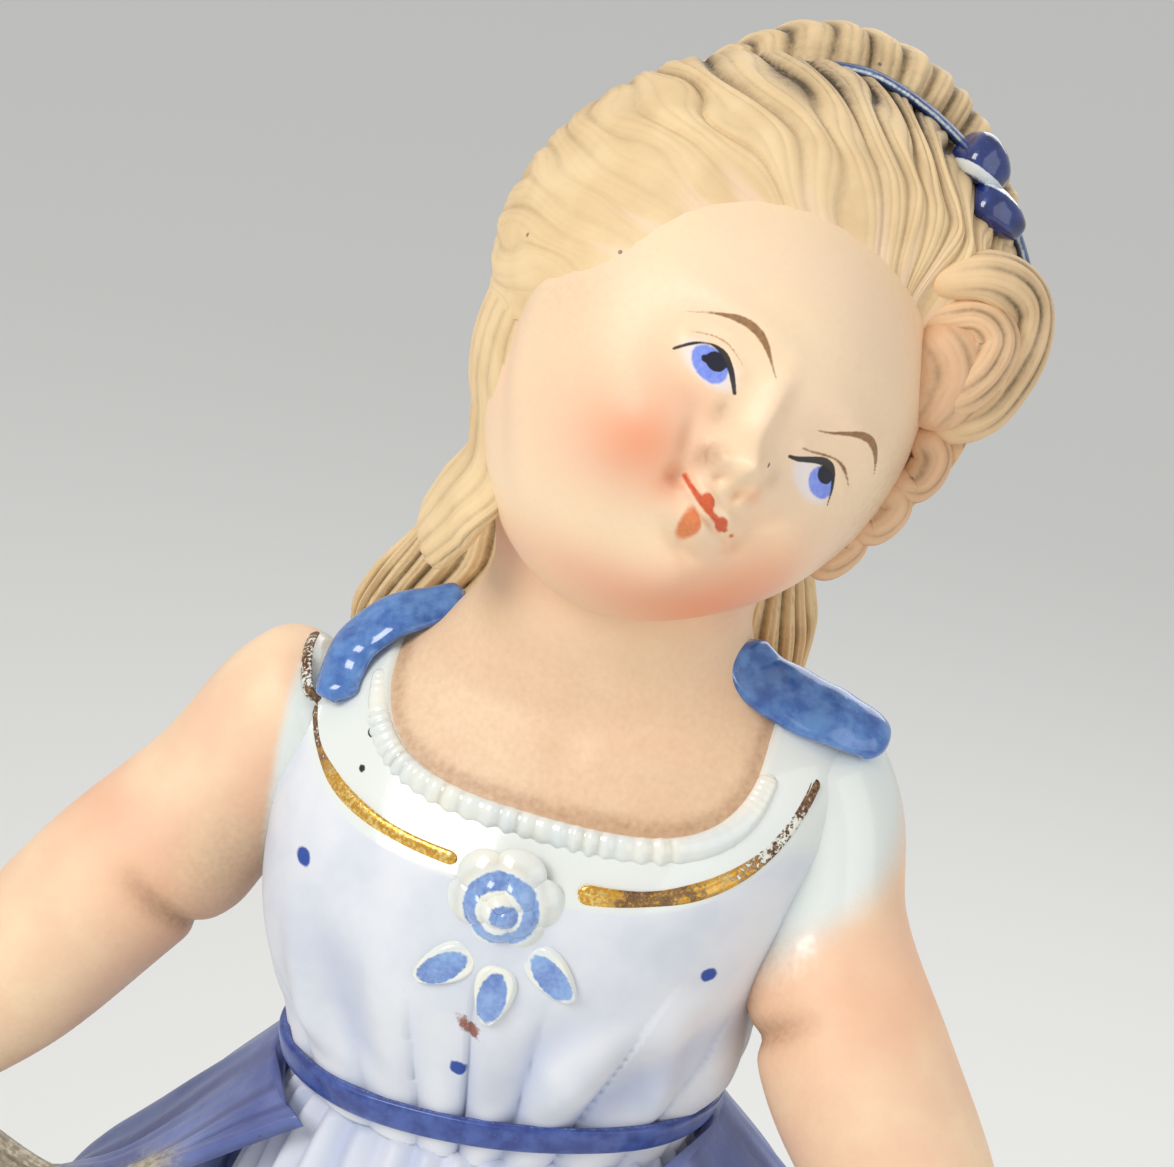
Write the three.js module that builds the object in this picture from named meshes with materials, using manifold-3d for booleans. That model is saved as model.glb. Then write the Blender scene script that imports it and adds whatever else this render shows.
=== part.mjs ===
// A bisque porcelain girl who holds out her overskirt, as the castings and sprigs that a maker lutes together.
// Millimetres, +Z up. She faces -Y and her left hand is on +X. The origin is under the middle of the whole figure.

import * as THREE from "three";
import { mergeVertices } from "three/addons/utils/BufferGeometryUtils.js";
import Module from "manifold-3d";

const wasm = await Module();
wasm.setup();

// ---- Driving dimensions ----------------------------------------------------------------------------------------
const GAP = 0.3; // the luting seam between two castings

const BASE = { radius: 50, step: 46, top: 43, height: 18, foot: 6, recess: 2.5, vent: 4, ventDepth: 12 };
const HEM_Z = 80; // underside of the skirt casting
const WAIST_Z = 188;
const SKIRT_TOP_Z = 184;
const LEAN = THREE.MathUtils.degToRad(4); // the upper body leans to her left

const HEAD = {
  centre: [12, -3, 268],
  radii: [21.5, 23.5, 25],
  pitch: THREE.MathUtils.degToRad(-16),
  tilt: THREE.MathUtils.degToRad(31),
  turn: THREE.MathUtils.degToRad(21),
};

// Half width a, half depth b and centre of the trunk at heights above the waist.
const TRUNK = [
  { z: -1.5, a: 20.6, b: 14.7, x: -0.3, y: 0 },
  { z: 2.2, a: 20.8, b: 14.9, x: -0.3, y: 0 },
  { z: 2.8, a: 22.2, b: 15.8, x: -0.3, y: 0 },
  { z: 10, a: 24.6, b: 17.6, x: -0.5, y: -0.3 },
  { z: 18, a: 26.2, b: 18.8, x: -0.9, y: -0.5 },
  { z: 28, a: 27.6, b: 18.4, x: -0.2, y: 0.2 },
  { z: 34, a: 28.6, b: 16.6, x: 1, y: 1.4 },
  { z: 40, a: 28.6, b: 13.8, x: 2, y: 2.8 },
  { z: 44, a: 25.5, b: 11.8, x: 2.2, y: 3.4 },
  { z: 47.5, a: 19.5, b: 11, x: 2, y: 3.2 },
  { z: 51, a: 14.8, b: 10.8, x: 2, y: 2.6 },
  { z: 56, a: 12.6, b: 11, x: 3.2, y: 1.8 },
  { z: 66, a: 12.4, b: 11, x: 5.4, y: 1 },
];
const SHOULDER_SLOPE = 0.09; // her left shoulder is the higher one
const BELT = { half: 1.9, a: 22.8, b: 16.8, innerA: 21, innerB: 15.1, x: -0.3 };
const NECKLINE = { halfWidth: 23.5, lowest: 33, rise: 12, backLowest: 42, square: 0.75, slope: 0.1 };

const ARMS = {
  right: {
    path: [[-24.5, 4, 223], [-33, 2.5, 213], [-43.5, -0.5, 200.5], [-52.5, -3.5, 189.5], [-60, -6, 181]],
    radii: [8.6, 8.6, 9.2, 8.2, 5.2],
  },
  left: {
    path: [[31, 2.5, 225], [32.4, 0.5, 212], [37.4, -5, 200.5], [45, -10, 190], [52.5, -14.5, 180.5]],
    radii: [7.4, 7.8, 9, 8.2, 5.2],
  },
};
const HANDS = { right: [-64.5, -7.5, 175.5], left: [56.5, -17, 175], radii: [5.2, 4.8, 6.4] };
const LEG = { x: 9, ankleZ: 33, calf: 6.6, ankle: 4.9, foot: [6.2, 13, 7] };

const COLOURS = {
  skin: 0xf3d3b4, hair: 0xdcc7a0, white: 0xe9ecef, blue: 0x4a72b8, deepBlue: 0x27509f, gold: 0xb98a3a,
  drape: 0x6c74a8,
};

// ---- Solids ----------------------------------------------------------------------------------------------------
function solid(geometry) {
  const bare = geometry.clone();
  for (const name of Object.keys(bare.attributes)) {
    if (name !== "position") bare.deleteAttribute(name);
  }
  const merged = mergeVertices(bare, 1e-4);
  return new wasm.Manifold(
    new wasm.Mesh({ numProp: 3, vertProperties: merged.attributes.position.array, triVerts: new Uint32Array(merged.index.array) }),
  );
}

// The largest body of a manifold as a geometry: a cut can leave a crumb behind.
function geometryOf(manifold) {
  const bodies = manifold.decompose().sort((p, q) => q.volume() - p.volume());
  const mesh = bodies[0].getMesh();
  const geometry = new THREE.BufferGeometry();
  geometry.setAttribute("position", new THREE.BufferAttribute(new Float32Array(mesh.vertProperties), 3));
  geometry.setIndex(new THREE.BufferAttribute(new Uint32Array(mesh.triVerts), 1));
  return geometry;
}

const joined = (...geometries) => geometryOf(geometries.map(solid).reduce((sum, next) => sum.add(next)));
const common = (first, second) => geometryOf(solid(first).intersect(solid(second)));
const without = (first, ...others) => geometryOf(others.map(solid).reduce((rest, next) => rest.subtract(next), solid(first)));

// Moves every vertex of a geometry to where `place` puts it.
function reshaped(geometry, place) {
  const at = geometry.attributes.position;
  for (let i = 0; i < at.count; i++) {
    const p = place(at.getX(i), at.getY(i), at.getZ(i));
    at.setXYZ(i, p.x, p.y, p.z);
  }
  return geometry;
}

// A closed cylinder whose rings take the centre (x, y, z) and half axes (a, b) of section(t), t from 0 to 1 upwards.
function loft(around, along, section) {
  return reshaped(new THREE.CylinderGeometry(1, 1, 1, around, along), (x, y, z) => {
    const s = section(y + 0.5, Math.atan2(x, z));
    return new THREE.Vector3(s.x + s.a * x, s.y - s.b * z, s.z);
  });
}

const ROUNDED = 8; // a high power keeps the limb full and rounds only its ends

// A round-ended limb along the points of a path, with a radius at each; `flat` squeezes it across Y.
function limb(path, radii, { around = 14, along = 10, grow = 0, flat = 1 } = {}) {
  const line = new THREE.CatmullRomCurve3(path.map((p) => new THREE.Vector3(...p)));
  const size = new THREE.CatmullRomCurve3(radii.map((r) => new THREE.Vector3(r, 0, 0)));
  const depth = new THREE.Vector3(0, 1, 0);
  return reshaped(new THREE.SphereGeometry(1, around, along), (x, y, z) => {
    const t = (1 + y) / 2;
    const tangent = line.getTangent(t);
    const side = new THREE.Vector3().crossVectors(tangent, depth).normalize();
    const front = new THREE.Vector3().crossVectors(side, tangent);
    const ring = Math.hypot(x, z) || 1;
    const radius = (size.getPoint(t).x + grow) * (1 - Math.abs(y) ** ROUNDED) ** (1 / ROUNDED);
    return line
      .getPoint(t)
      .addScaledVector(side, (radius * x) / ring)
      .addScaledVector(front, (radius * flat * z) / ring)
      .addScaledVector(tangent, grow * y);
  });
}

function ellipsoid([a, b, c], [x, y, z], { around = 16, along = 10, grow = 0 } = {}) {
  const ball = new THREE.SphereGeometry(1, around, along);
  ball.rotateX(Math.PI / 2);
  ball.scale(a + grow, b + grow, c + grow);
  return ball.translate(x, y, z);
}

function block([width, depth, height], [x, y, z]) {
  return new THREE.BoxGeometry(width, depth, height).translate(x, y, z);
}

const degrees = (from, to, count) =>
  Array.from({ length: count }, (_, i) => THREE.MathUtils.degToRad(THREE.MathUtils.lerp(from, to, i / (count - 1))));

// ---- Assembly --------------------------------------------------------------------------------------------------
const figure = new THREE.Group();
const upperBody = new THREE.Group();
upperBody.position.set(0, 0, WAIST_Z);
upperBody.rotation.y = LEAN;
const headGroup = new THREE.Group();
headGroup.position.set(...HEAD.centre);
headGroup.rotation.set(HEAD.pitch, HEAD.tilt, HEAD.turn, "ZYX");
figure.add(upperBody, headGroup);

// make(grow) gives the piece's geometry, swollen by grow for the clearance that its neighbours are cut with.
function piece(parent, name, colour, make, roughness = 0.6, metalness = 0) {
  const mesh = new THREE.Mesh(make(0), new THREE.MeshStandardMaterial({ color: colour, roughness, metalness }));
  mesh.name = name;
  mesh.userData.clearance = make(GAP);
  parent.add(mesh);
  return mesh;
}

// Takes the clearance of other pieces out of one.
function cut(mesh, ...others) {
  mesh.updateWorldMatrix(true, false);
  const toMesh = mesh.matrixWorld.clone().invert();
  const tools = others.map((other) => {
    other.updateWorldMatrix(true, false);
    return other.userData.clearance.clone().applyMatrix4(new THREE.Matrix4().multiplyMatrices(toMesh, other.matrixWorld));
  });
  mesh.geometry = without(mesh.geometry, ...tools);
}

// ---- Base and legs -----------------------------------------------------------------------------------------
function baseGeometry() {
  const outline = [
    [0, BASE.ventDepth], [BASE.vent, BASE.ventDepth], [BASE.vent, BASE.recess],
    [BASE.radius - BASE.foot, BASE.recess], [BASE.radius - BASE.foot, 0], [BASE.radius, 0], [BASE.radius, 4.5],
    [BASE.step + 1, 7], [BASE.step - 1, 9], [BASE.step - 1, 12.5], [BASE.step, 14.5], [BASE.step - 0.6, 16.6],
    [BASE.top, BASE.height], [0, BASE.height],
  ];
  return new THREE.LatheGeometry(outline.map(([r, z]) => new THREE.Vector2(r, z)), 36).rotateX(Math.PI / 2);
}
piece(figure, "base", COLOURS.white, baseGeometry);

// Each leg is one casting with its boot, cut flat where it stands on the base and where the skirt sits on it.
function legGeometry(side, grow) {
  const x = side * LEG.x;
  const shank = limb(
    [[x, 1, 92], [x, 1, 70], [x, 1.5, 50], [x, 2, LEG.ankleZ], [x, 2, 20]],
    [7, 7.2, LEG.calf, LEG.ankle, LEG.ankle + 0.6],
    { grow },
  );
  const foot = ellipsoid(LEG.foot, [x + side * 1.2, -5, 23.5], { grow });
  const room = block([60, 80, HEM_Z - BASE.height - 2 * GAP], [x, 0, (HEM_Z + BASE.height) / 2]);
  return common(joined(shank, foot), room);
}
for (const [name, side] of [["left", 1], ["right", -1]]) {
  piece(figure, `leg_${name}`, COLOURS.white, (grow) => legGeometry(side, grow));
}

// ---- Skirts ----------------------------------------------------------------------------------------------------
const SKIRT = { hemA: 43, hemB: 39, folds: 10, foldDepth: 1.6 };

function underskirtGeometry(grow) {
  return loft(40, 8, (t, angle) => {
    const spread = (1 - t) ** 0.8;
    const bell = Math.sin(Math.PI * t) * 4;
    const fold = SKIRT.foldDepth * spread * Math.cos(SKIRT.folds * angle);
    const a = 20.5 + (SKIRT.hemA - 20.5) * spread + bell + fold + grow;
    const b = 15.8 + (SKIRT.hemB - 15.8) * spread + bell + fold + grow;
    return { x: 0, y: 1.5 * (1 - t), z: HEM_Z + (SKIRT_TOP_Z - HEM_Z) * t, a, b };
  });
}
const underskirt = piece(figure, "underskirt", COLOURS.white, underskirtGeometry, 0.7);

// The overskirt hangs from the waist and is held out by both hands. Each guide runs from the waist to the hem:
// from her right front edge, round the back, to her left front edge.
const OVERSKIRT = { thickness: 1.8, across: 26, down: 8 };
const GUIDES = [
  [[-17.5, -13, 185], [-41, -13, 172], [-63, -9, 176], [-67, -8, 148], [-60, -6, 108]],
  [[-21.5, -7, 185.5], [-40, -4, 168], [-57, 0, 160], [-62, 3, 137], [-59, 4, 105]],
  [[-23, 5, 186], [-35, 13, 172], [-46, 18, 154], [-52, 20, 130], [-53, 22, 101]],
  [[-15, 15, 186], [-22, 24, 173], [-28, 32, 155], [-32, 37, 130], [-34, 41, 98]],
  [[0, 18.3, 186], [0, 28, 174], [0, 37, 156], [0, 43, 130], [0, 47, 96]],
  [[15, 15, 186], [22, 24, 173], [28, 32, 155], [32, 37, 130], [34, 41, 98]],
  [[23, 5, 186], [34, 12, 171], [44, 16, 152], [50, 19, 128], [51, 21, 100]],
  [[21.5, -7, 185.5], [37, -7, 165], [50, -6, 153], [57, -4, 133], [55, -1, 103]],
  [[17.5, -13, 185], [38, -18, 167], [54.5, -17.5, 166], [61, -14, 142], [56, -11, 104]],
];

function overskirtPoint(across, down) {
  const line = new THREE.CatmullRomCurve3(
    GUIDES.map((guide) => new THREE.CatmullRomCurve3(guide.map((p) => new THREE.Vector3(...p))).getPoint(down)),
  );
  return line.getPoint(across);
}

function overskirtGeometry(grow) {
  const step = 0.004;
  const half = OVERSKIRT.thickness / 2 + grow;
  const sheet = new THREE.BoxGeometry(1, 1, 1, OVERSKIRT.across, 1, OVERSKIRT.down);
  return reshaped(sheet, (x, y, z) => {
    const across = x + 0.5;
    const down = z + 0.5;
    const p = overskirtPoint(across, down);
    const along = overskirtPoint(Math.min(across + step, 1), down).sub(overskirtPoint(Math.max(across - step, 0), down));
    const below = overskirtPoint(across, Math.min(down + step, 1)).sub(overskirtPoint(across, Math.max(down - step, 0)));
    const out = new THREE.Vector3().crossVectors(below, along).normalize();
    return p.addScaledVector(out, 2 * y * half);
  });
}
const overskirt = piece(figure, "overskirt", COLOURS.drape, overskirtGeometry, 0.5);
cut(underskirt, overskirt);

// ---- Trunk -----------------------------------------------------------------------------------------------------
// The trunk's section at a height, from the rows above and below it.
function trunkAt(z) {
  const next = Math.min(Math.max(TRUNK.findIndex((row) => row.z > z), 1), TRUNK.length - 1);
  const [low, high] = z >= TRUNK.at(-1).z ? [TRUNK.at(-2), TRUNK.at(-1)] : [TRUNK[next - 1], TRUNK[next]];
  const share = THREE.MathUtils.clamp((z - low.z) / (high.z - low.z), 0, 1);
  const mix = (key) => THREE.MathUtils.lerp(low[key], high[key], share);
  return { z, a: mix("a"), b: mix("b"), x: mix("x"), y: mix("y") };
}

function trunkGeometry(grow) {
  const trunk = loft(28, TRUNK.length - 1, (t) => {
    const s = TRUNK[Math.round(t * (TRUNK.length - 1))];
    return { ...s, a: s.a + grow, b: s.b + grow };
  });
  return reshaped(trunk, (x, y, z) => new THREE.Vector3(x, y, z + slopeAt(x, z)));
}

// How much higher a point of the trunk lies because the shoulders aren't level.
function slopeAt(x, z) {
  const share = THREE.MathUtils.smoothstep(z, 14, 36) * (1 - THREE.MathUtils.smoothstep(z, 46, 60));
  return SHOULDER_SLOPE * share * x;
}

// A point (x, z) of the neckline, from -90 degrees at her right shoulder to 90 at her left.
function necklineAt(angle, drop, lowest = NECKLINE.lowest) {
  const x = (NECKLINE.halfWidth + drop) * Math.sign(Math.sin(angle)) * Math.abs(Math.sin(angle)) ** NECKLINE.square;
  const z = lowest - drop + (NECKLINE.rise + drop) * (1 - Math.abs(Math.cos(angle)) ** NECKLINE.square);
  return [x, z + NECKLINE.slope * x];
}

// A U-shaped block, as wide and low as the neckline, that parts the skin of the chest from the dress.
function necklineBlock(drop) {
  const make = (lowest, from, to) => {
    const outline = new THREE.Shape();
    outline.moveTo(-NECKLINE.halfWidth - drop, lowest + 50);
    for (const angle of degrees(-90, 90, 13)) outline.lineTo(...necklineAt(angle, drop, lowest));
    outline.lineTo(NECKLINE.halfWidth + drop, lowest + 50);
    const prism = new THREE.ExtrudeGeometry(outline, { depth: to - from, bevelEnabled: false });
    return prism.rotateX(Math.PI / 2).translate(0, to, 0);
  };
  return joined(make(NECKLINE.lowest, -40, 1), make(NECKLINE.backLowest, 0, 40));
}

// The same point on the trunk's skin, lifted off it.
function necklinePoint(angle, drop, lift) {
  return onTrunk(...necklineAt(angle, drop), lift);
}

function onTrunk(x, z, lift) {
  const s = trunkAt(z - slopeAt(x, z));
  const y = s.y - (s.b + lift) * Math.sqrt(Math.max(0, 1 - ((x - s.x) / (s.a + lift)) ** 2));
  return [x, y, z];
}

const chest = piece(upperBody, "chest_and_neck", COLOURS.skin, (grow) => common(trunkGeometry(grow), necklineBlock(0)));
const bodice = piece(upperBody, "bodice", COLOURS.white, (grow) => without(trunkGeometry(grow), necklineBlock(GAP)));

function beltGeometry(grow) {
  const ring = (a, b, half) => loft(28, 1, (t) => ({ x: BELT.x, y: 0, z: half * (2 * t - 1), a, b }));
  return without(ring(BELT.a + grow, BELT.b + grow, BELT.half + grow), ring(BELT.innerA, BELT.innerB, 3 * BELT.half));
}
const belt = piece(upperBody, "waist_belt", COLOURS.blue, beltGeometry, 0.35);
cut(belt, overskirt);

const ruffleLine = degrees(-78, 78, 13).map((angle) => necklinePoint(angle, 0.6, 0.6));
const ruffle = piece(upperBody, "neckline_ruffle", COLOURS.white, (grow) =>
  limb(ruffleLine, ruffleLine.map(() => 1.7), { around: 8, along: 20, grow }), 0.3);

const CORD = { drop: 3.4, lift: 0.3, radius: 0.9, roseGap: 9, shoulder: 80 };
const cords = [["right", -1], ["left", 1]].map(([name, side]) => {
  const line = degrees(CORD.roseGap, CORD.shoulder, 8).map((a) => necklinePoint(side * a, CORD.drop, CORD.lift));
  return piece(upperBody, `gold_cord_${name}`, COLOURS.gold, (grow) =>
    limb(line, line.map(() => CORD.radius), { around: 6, along: 12, grow }), 0.3, 1);
});

// The rose and its three leaves are pressed separately and stuck on the middle of the neckline.
const ROSE = { x: 0, z: 28.3, radius: 5.6, height: 3.2 };
const LEAVES = [["right", -4.4, 20.6, 50], ["middle", 0.9, 19, 4], ["left", 6, 22.2, -48]];
const rose = piece(upperBody, "rose", COLOURS.white, (grow) =>
  ellipsoid([ROSE.radius, ROSE.height, ROSE.radius], onTrunk(ROSE.x, ROSE.z, 0.6), { around: 14, along: 8, grow }), 0.3);
const leaves = LEAVES.map(([name, x, z, turn]) =>
  piece(upperBody, `rose_leaf_${name}`, COLOURS.blue, (grow) => {
    const leaf = ellipsoid([2.1, 1.2, 3.2], [0, 0, 0], { around: 8, along: 6, grow });
    return leaf.rotateY(THREE.MathUtils.degToRad(turn)).translate(...onTrunk(x, z, 0.4));
  }, 0.3));

// A ribbon lies over each shoulder, from the neckline's top in front to the back of the dress.
const RIBBONS = {
  right: [[-23.6, -8.5, 36.5], [-23.4, -5, 41], [-20, -1, 45], [-16.5, 2.5, 48], [-14.5, 7, 48.5]],
  left: [[31.5, -3.5, 42.5], [28.5, -2, 46.5], [23, -0.5, 48.8], [18.5, 2, 50.6], [16, 7, 50]],
};
const ribbons = Object.entries(RIBBONS).map(([name, path]) =>
  piece(upperBody, `shoulder_ribbon_${name}`, COLOURS.blue, (grow) =>
    limb(path, [2.6, 2.9, 2.9, 2.8, 2.3], { around: 10, along: 8, grow }), 0.25));

// ---- Arms and hands --------------------------------------------------------------------------------------------
const arms = Object.entries(ARMS).map(([name, arm]) =>
  piece(figure, `arm_${name}`, COLOURS.skin, (grow) => limb(arm.path, arm.radii, { grow, along: 12 })));
const hands = Object.keys(ARMS).map((name) =>
  piece(figure, `hand_${name}`, COLOURS.skin, (grow) => ellipsoid(HANDS.radii, HANDS[name], { around: 12, along: 8, grow })));
hands.forEach((hand, i) => cut(hand, arms[i]));
cut(overskirt, ...hands, ...arms);

// ---- Head and hair ---------------------------------------------------------------------------------------------
function headGeometry(grow) {
  const [a, b, c] = HEAD.radii.map((r) => r + grow);
  const ball = new THREE.SphereGeometry(1, 24, 16).rotateX(Math.PI / 2);
  return reshaped(ball, (x, y, z) => {
    const low = Math.max(0, -z) ** 2; // the jaw narrows and the chin comes forward
    const nose = 3.6 * Math.exp(-((x / 0.13) ** 2) - ((z + 0.36) / 0.16) ** 2) * (y < 0 ? 1 : 0);
    return new THREE.Vector3(
      a * x * (1 - 0.26 * low),
      b * y * (1 - (y > 0 ? 0.32 : 0.08) * low) - 1.5 * low - nose,
      c * z,
    );
  });
}
const head = piece(headGroup, "head", COLOURS.skin, headGeometry);

const HAIR = { front: [27.3, 25, 26.9], frontCentre: [3, 1.5, 7.2], crown: [24.8, 24, 28], crownCentre: [5, 3.2, 11] };
const PART_PLANE = {
  top: [0, -5.8, 30],
  slant: THREE.MathUtils.degToRad(12),
  turn: THREE.MathUtils.degToRad(-20),
  half: 1.4,
};

// Everything in front of the band's plane, moved along its normal.
function beforeBand(shift) {
  const room = block([200, 100, 200], [0, -50 + shift, 0]);
  return room.rotateX(PART_PLANE.slant).rotateZ(PART_PLANE.turn).translate(...PART_PLANE.top);
}

function hairFrontGeometry(grow) {
  const mass = ellipsoid(HAIR.front, HAIR.frontCentre, { around: 22, along: 14, grow });
  const face = ellipsoid([18.5, 40, 20.5], [1, -34, -6], { around: 22, along: 14, grow: -grow });
  const jaw = block([80, 80, 40], [0, 0, -31 - grow]);
  return common(without(mass, face, jaw), beforeBand(-PART_PLANE.half - GAP + grow));
}

function bandGeometry(grow) {
  const mass = ellipsoid(HAIR.front.map((r) => r + 0.8), HAIR.frontCentre, { around: 22, along: 14, grow });
  const strip = without(common(mass, beforeBand(PART_PLANE.half + grow)), beforeBand(-PART_PLANE.half - grow));
  return without(strip, block([80, 80, 60], [0, 0, -34 - grow]));
}

function crownGeometry(grow) {
  const mass = ellipsoid(HAIR.crown, HAIR.crownCentre, { around: 20, along: 12, grow });
  return without(mass, beforeBand(PART_PLANE.half + GAP - grow));
}

const BOW = { at: [12, -9.8, 31], loop: [3.4, 3, 3], spread: [2.7, 0, -1.7] };
function bowGeometry(grow) {
  const loops = [-1, 1].map((side) => BOW.at.map((value, i) => value + side * BOW.spread[i]));
  return joined(...loops.map((at) => ellipsoid(BOW.loop, at, { around: 12, along: 8, grow })));
}
const bow = piece(headGroup, "hair_bow", COLOURS.deepBlue, bowGeometry, 0.2);

const CURLS = {
  right: [[-17, -13, 11], [-19.5, -11.5, 6], [-21.6, -8, 0.5], [-22, -4, -6]],
  left: [[17.5, -15, 22], [21, -15, 16], [22.4, -13, 8], [21, -11, 0]],
};
const curls = Object.entries(CURLS).map(([name, path]) =>
  piece(headGroup, `temple_curl_${name}`, COLOURS.hair, (grow) =>
    limb(path, [3.6, 4.6, 4.6, 3.4], { around: 10, along: 8, grow }), 0.8));

const band = piece(headGroup, "hair_band", COLOURS.blue, bandGeometry, 0.3);
const hairFront = piece(headGroup, "hair_front_roll", COLOURS.hair, hairFrontGeometry, 0.8);
const crown = piece(headGroup, "hair_crown", COLOURS.hair, crownGeometry, 0.8);
cut(bow, head);
curls.forEach((curl) => cut(curl, head, bow));
cut(band, head, bow, ...curls);
cut(hairFront, head, bow, band, ...curls);
cut(crown, head, chest, bow, band, hairFront, ...curls);

// The long back hair falls from under the crown to the shoulders.
const BACK_HAIR = {
  rows: [
    { x: 8, y: 16, z: 272, a: 19, b: 9 },
    { x: 6, y: 15, z: 258, a: 20, b: 8 },
    { x: 4, y: 14.5, z: 246, a: 19.5, b: 6.5 },
    { x: 2, y: 14.5, z: 236, a: 24.5, b: 6.5 },
    { x: 0.5, y: 17, z: 226, a: 22.5, b: 4.5 },
    { x: 0, y: 19.5, z: 214, a: 14, b: 2.5 },
  ],
};
function backHairGeometry(grow) {
  const rows = BACK_HAIR.rows;
  const line = new THREE.CatmullRomCurve3(rows.map((r) => new THREE.Vector3(r.x, r.y, r.z)));
  const size = new THREE.CatmullRomCurve3(rows.map((r) => new THREE.Vector3(r.a, r.b, 0)));
  return reshaped(new THREE.SphereGeometry(1, 22, 12), (x, y, z) => {
    const t = (1 - y) / 2;
    const ring = Math.hypot(x, z) || 1;
    const full = (1 - Math.abs(y) ** 4) ** (1 / 4) / ring;
    const s = size.getPoint(t);
    const p = line.getPoint(t);
    return new THREE.Vector3(p.x + (s.x + grow) * full * x, p.y - (s.y + grow) * full * z, p.z + grow * y);
  });
}
const backHair = piece(figure, "back_hair", COLOURS.hair, backHairGeometry, 0.8);
cut(backHair, head, crown, hairFront, band, chest, bodice, ...ribbons, ...arms, ...curls);

// ---- Seams of the trunk ----------------------------------------------------------------------------------------
cut(chest, head, ...arms);
cut(bodice, ...arms);
cords.forEach((cord) => cut(cord, chest, bodice, rose, ruffle, ...ribbons, ...arms));
cut(ruffle, chest, bodice, rose, ...ribbons);
leaves.forEach((leaf) => cut(leaf, bodice, rose));
cut(rose, chest, bodice);
ribbons.forEach((ribbon) => cut(ribbon, chest, bodice, head, ...arms));

// ---- Origin under the middle of the figure ----------------------------------------------------------------------
const bounds = new THREE.Box3().setFromObject(figure, true);
const middle = bounds.getCenter(new THREE.Vector3());
figure.position.set(-middle.x, -middle.y, -bounds.min.z);

export default figure;
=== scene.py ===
# %% [markdown]
# A girl in bisque porcelain holds out her overskirt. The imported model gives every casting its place. This script
# replaces the plain castings with sculpted ones and paints them the way a figure painter does: matt tinted bisque
# for skin and hair, enamel colours, clear glaze on the trimmings and a worn gold line.

# %% Load the castings
import math

import bmesh
import bpy
import numpy as np
from mathutils import Matrix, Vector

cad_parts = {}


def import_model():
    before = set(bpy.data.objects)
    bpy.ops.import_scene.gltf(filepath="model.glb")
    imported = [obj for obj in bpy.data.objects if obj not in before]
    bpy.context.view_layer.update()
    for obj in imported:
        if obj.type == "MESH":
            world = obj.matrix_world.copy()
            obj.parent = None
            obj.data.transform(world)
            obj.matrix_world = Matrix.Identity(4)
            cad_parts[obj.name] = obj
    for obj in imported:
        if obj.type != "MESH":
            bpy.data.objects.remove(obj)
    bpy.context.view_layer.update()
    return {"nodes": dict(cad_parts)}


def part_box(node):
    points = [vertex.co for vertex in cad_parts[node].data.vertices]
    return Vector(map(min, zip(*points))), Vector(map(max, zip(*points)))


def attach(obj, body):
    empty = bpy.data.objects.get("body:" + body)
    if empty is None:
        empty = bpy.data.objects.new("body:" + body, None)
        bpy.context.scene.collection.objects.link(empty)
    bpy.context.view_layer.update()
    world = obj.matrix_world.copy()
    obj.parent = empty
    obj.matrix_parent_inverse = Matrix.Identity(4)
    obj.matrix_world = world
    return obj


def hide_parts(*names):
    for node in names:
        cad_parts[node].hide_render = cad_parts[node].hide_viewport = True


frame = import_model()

scene = bpy.context.scene
print("castings:", len(frame["nodes"]))

# %% [markdown]
# All sizes below are in millimetres, in one of three spaces: the whole figure, the torso, which leans a little to
# her left, and the head, which tilts and turns. Each space is a rotation and a shift.

# %% Spaces
foot_low, foot_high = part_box("base")
FOOT = np.array([(foot_low.x + foot_high.x) / 2, (foot_low.y + foot_high.y) / 2, foot_low.z])


def space(turn, tilt, nod, move):
    """A space turned about z, then y, then x (degrees), at a place in the figure."""
    turn, tilt, nod = (math.radians(a) for a in (turn, tilt, nod))
    spin = Matrix.Rotation(turn, 3, "Z") @ Matrix.Rotation(tilt, 3, "Y") @ Matrix.Rotation(nod, 3, "X")
    return np.array(spin), np.array(move, float)


FIGURE = space(0, 0, 0, (0, 0, 0))
TORSO = space(0, 4, 0, (0, 0, 188))
HEAD = space(21, 31, -16, (12, -3, 268))


def world(points, where=FIGURE):
    """Millimetres in a space, as metres in the scene."""
    spin, move = where
    return (np.asarray(points, float) @ spin.T + move) * 0.001 + FOOT


print("head centre:", world((0, 0, 0), HEAD).round(4))

# %% [markdown]
# Cast porcelain is soft, continuous form, so most pieces start as a grid of points laid along the form, like clay
# coils: rows run along it and columns go round it. These helpers make smooth rows from a few guide lines, find the
# outward direction for carving, and turn the points into a mesh whose seam and poles are closed.

# %% Coils of clay
def through(guides, count):
    """Points on a smooth line through the guides, along their first axis."""
    g = np.asarray(guides, float)
    t = np.linspace(0, len(g) - 1, count)
    i = np.clip(t.astype(int), 0, len(g) - 2)
    f = (t - i).reshape((-1,) + (1,) * (g.ndim - 1))
    p = np.concatenate([[2 * g[0] - g[1]], g, [2 * g[-1] - g[-2]]])
    a, b, c, d = p[i], p[i + 1], p[i + 2], p[i + 3]
    return 0.5 * (2 * b + (c - a) * f + (2 * a - 5 * b + 4 * c - d) * f**2 + (3 * b - a - 3 * c + d) * f**3)


def outward(points, wrap=True):
    """The unit direction out of the form at each point of a grid."""
    along = np.gradient(points, axis=0)
    if wrap:
        ring = np.concatenate([points[:, -2:-1], points, points[:, 1:2]], axis=1)
        across = ring[:, 2:] - ring[:, :-2]
    else:
        across = np.gradient(points, axis=1)
    n = np.cross(across, along)
    n /= np.linalg.norm(n, axis=2, keepdims=True) + 1e-9
    inside = points.mean(axis=(0, 1))
    return n if ((points - inside) * n).sum() > 0 else -n


def soft(value, low, high):
    """0 below low, 1 above high, and smooth between."""
    t = np.clip((value - low) / (high - low), 0, 1)
    return t * t * (3 - 2 * t)


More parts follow.
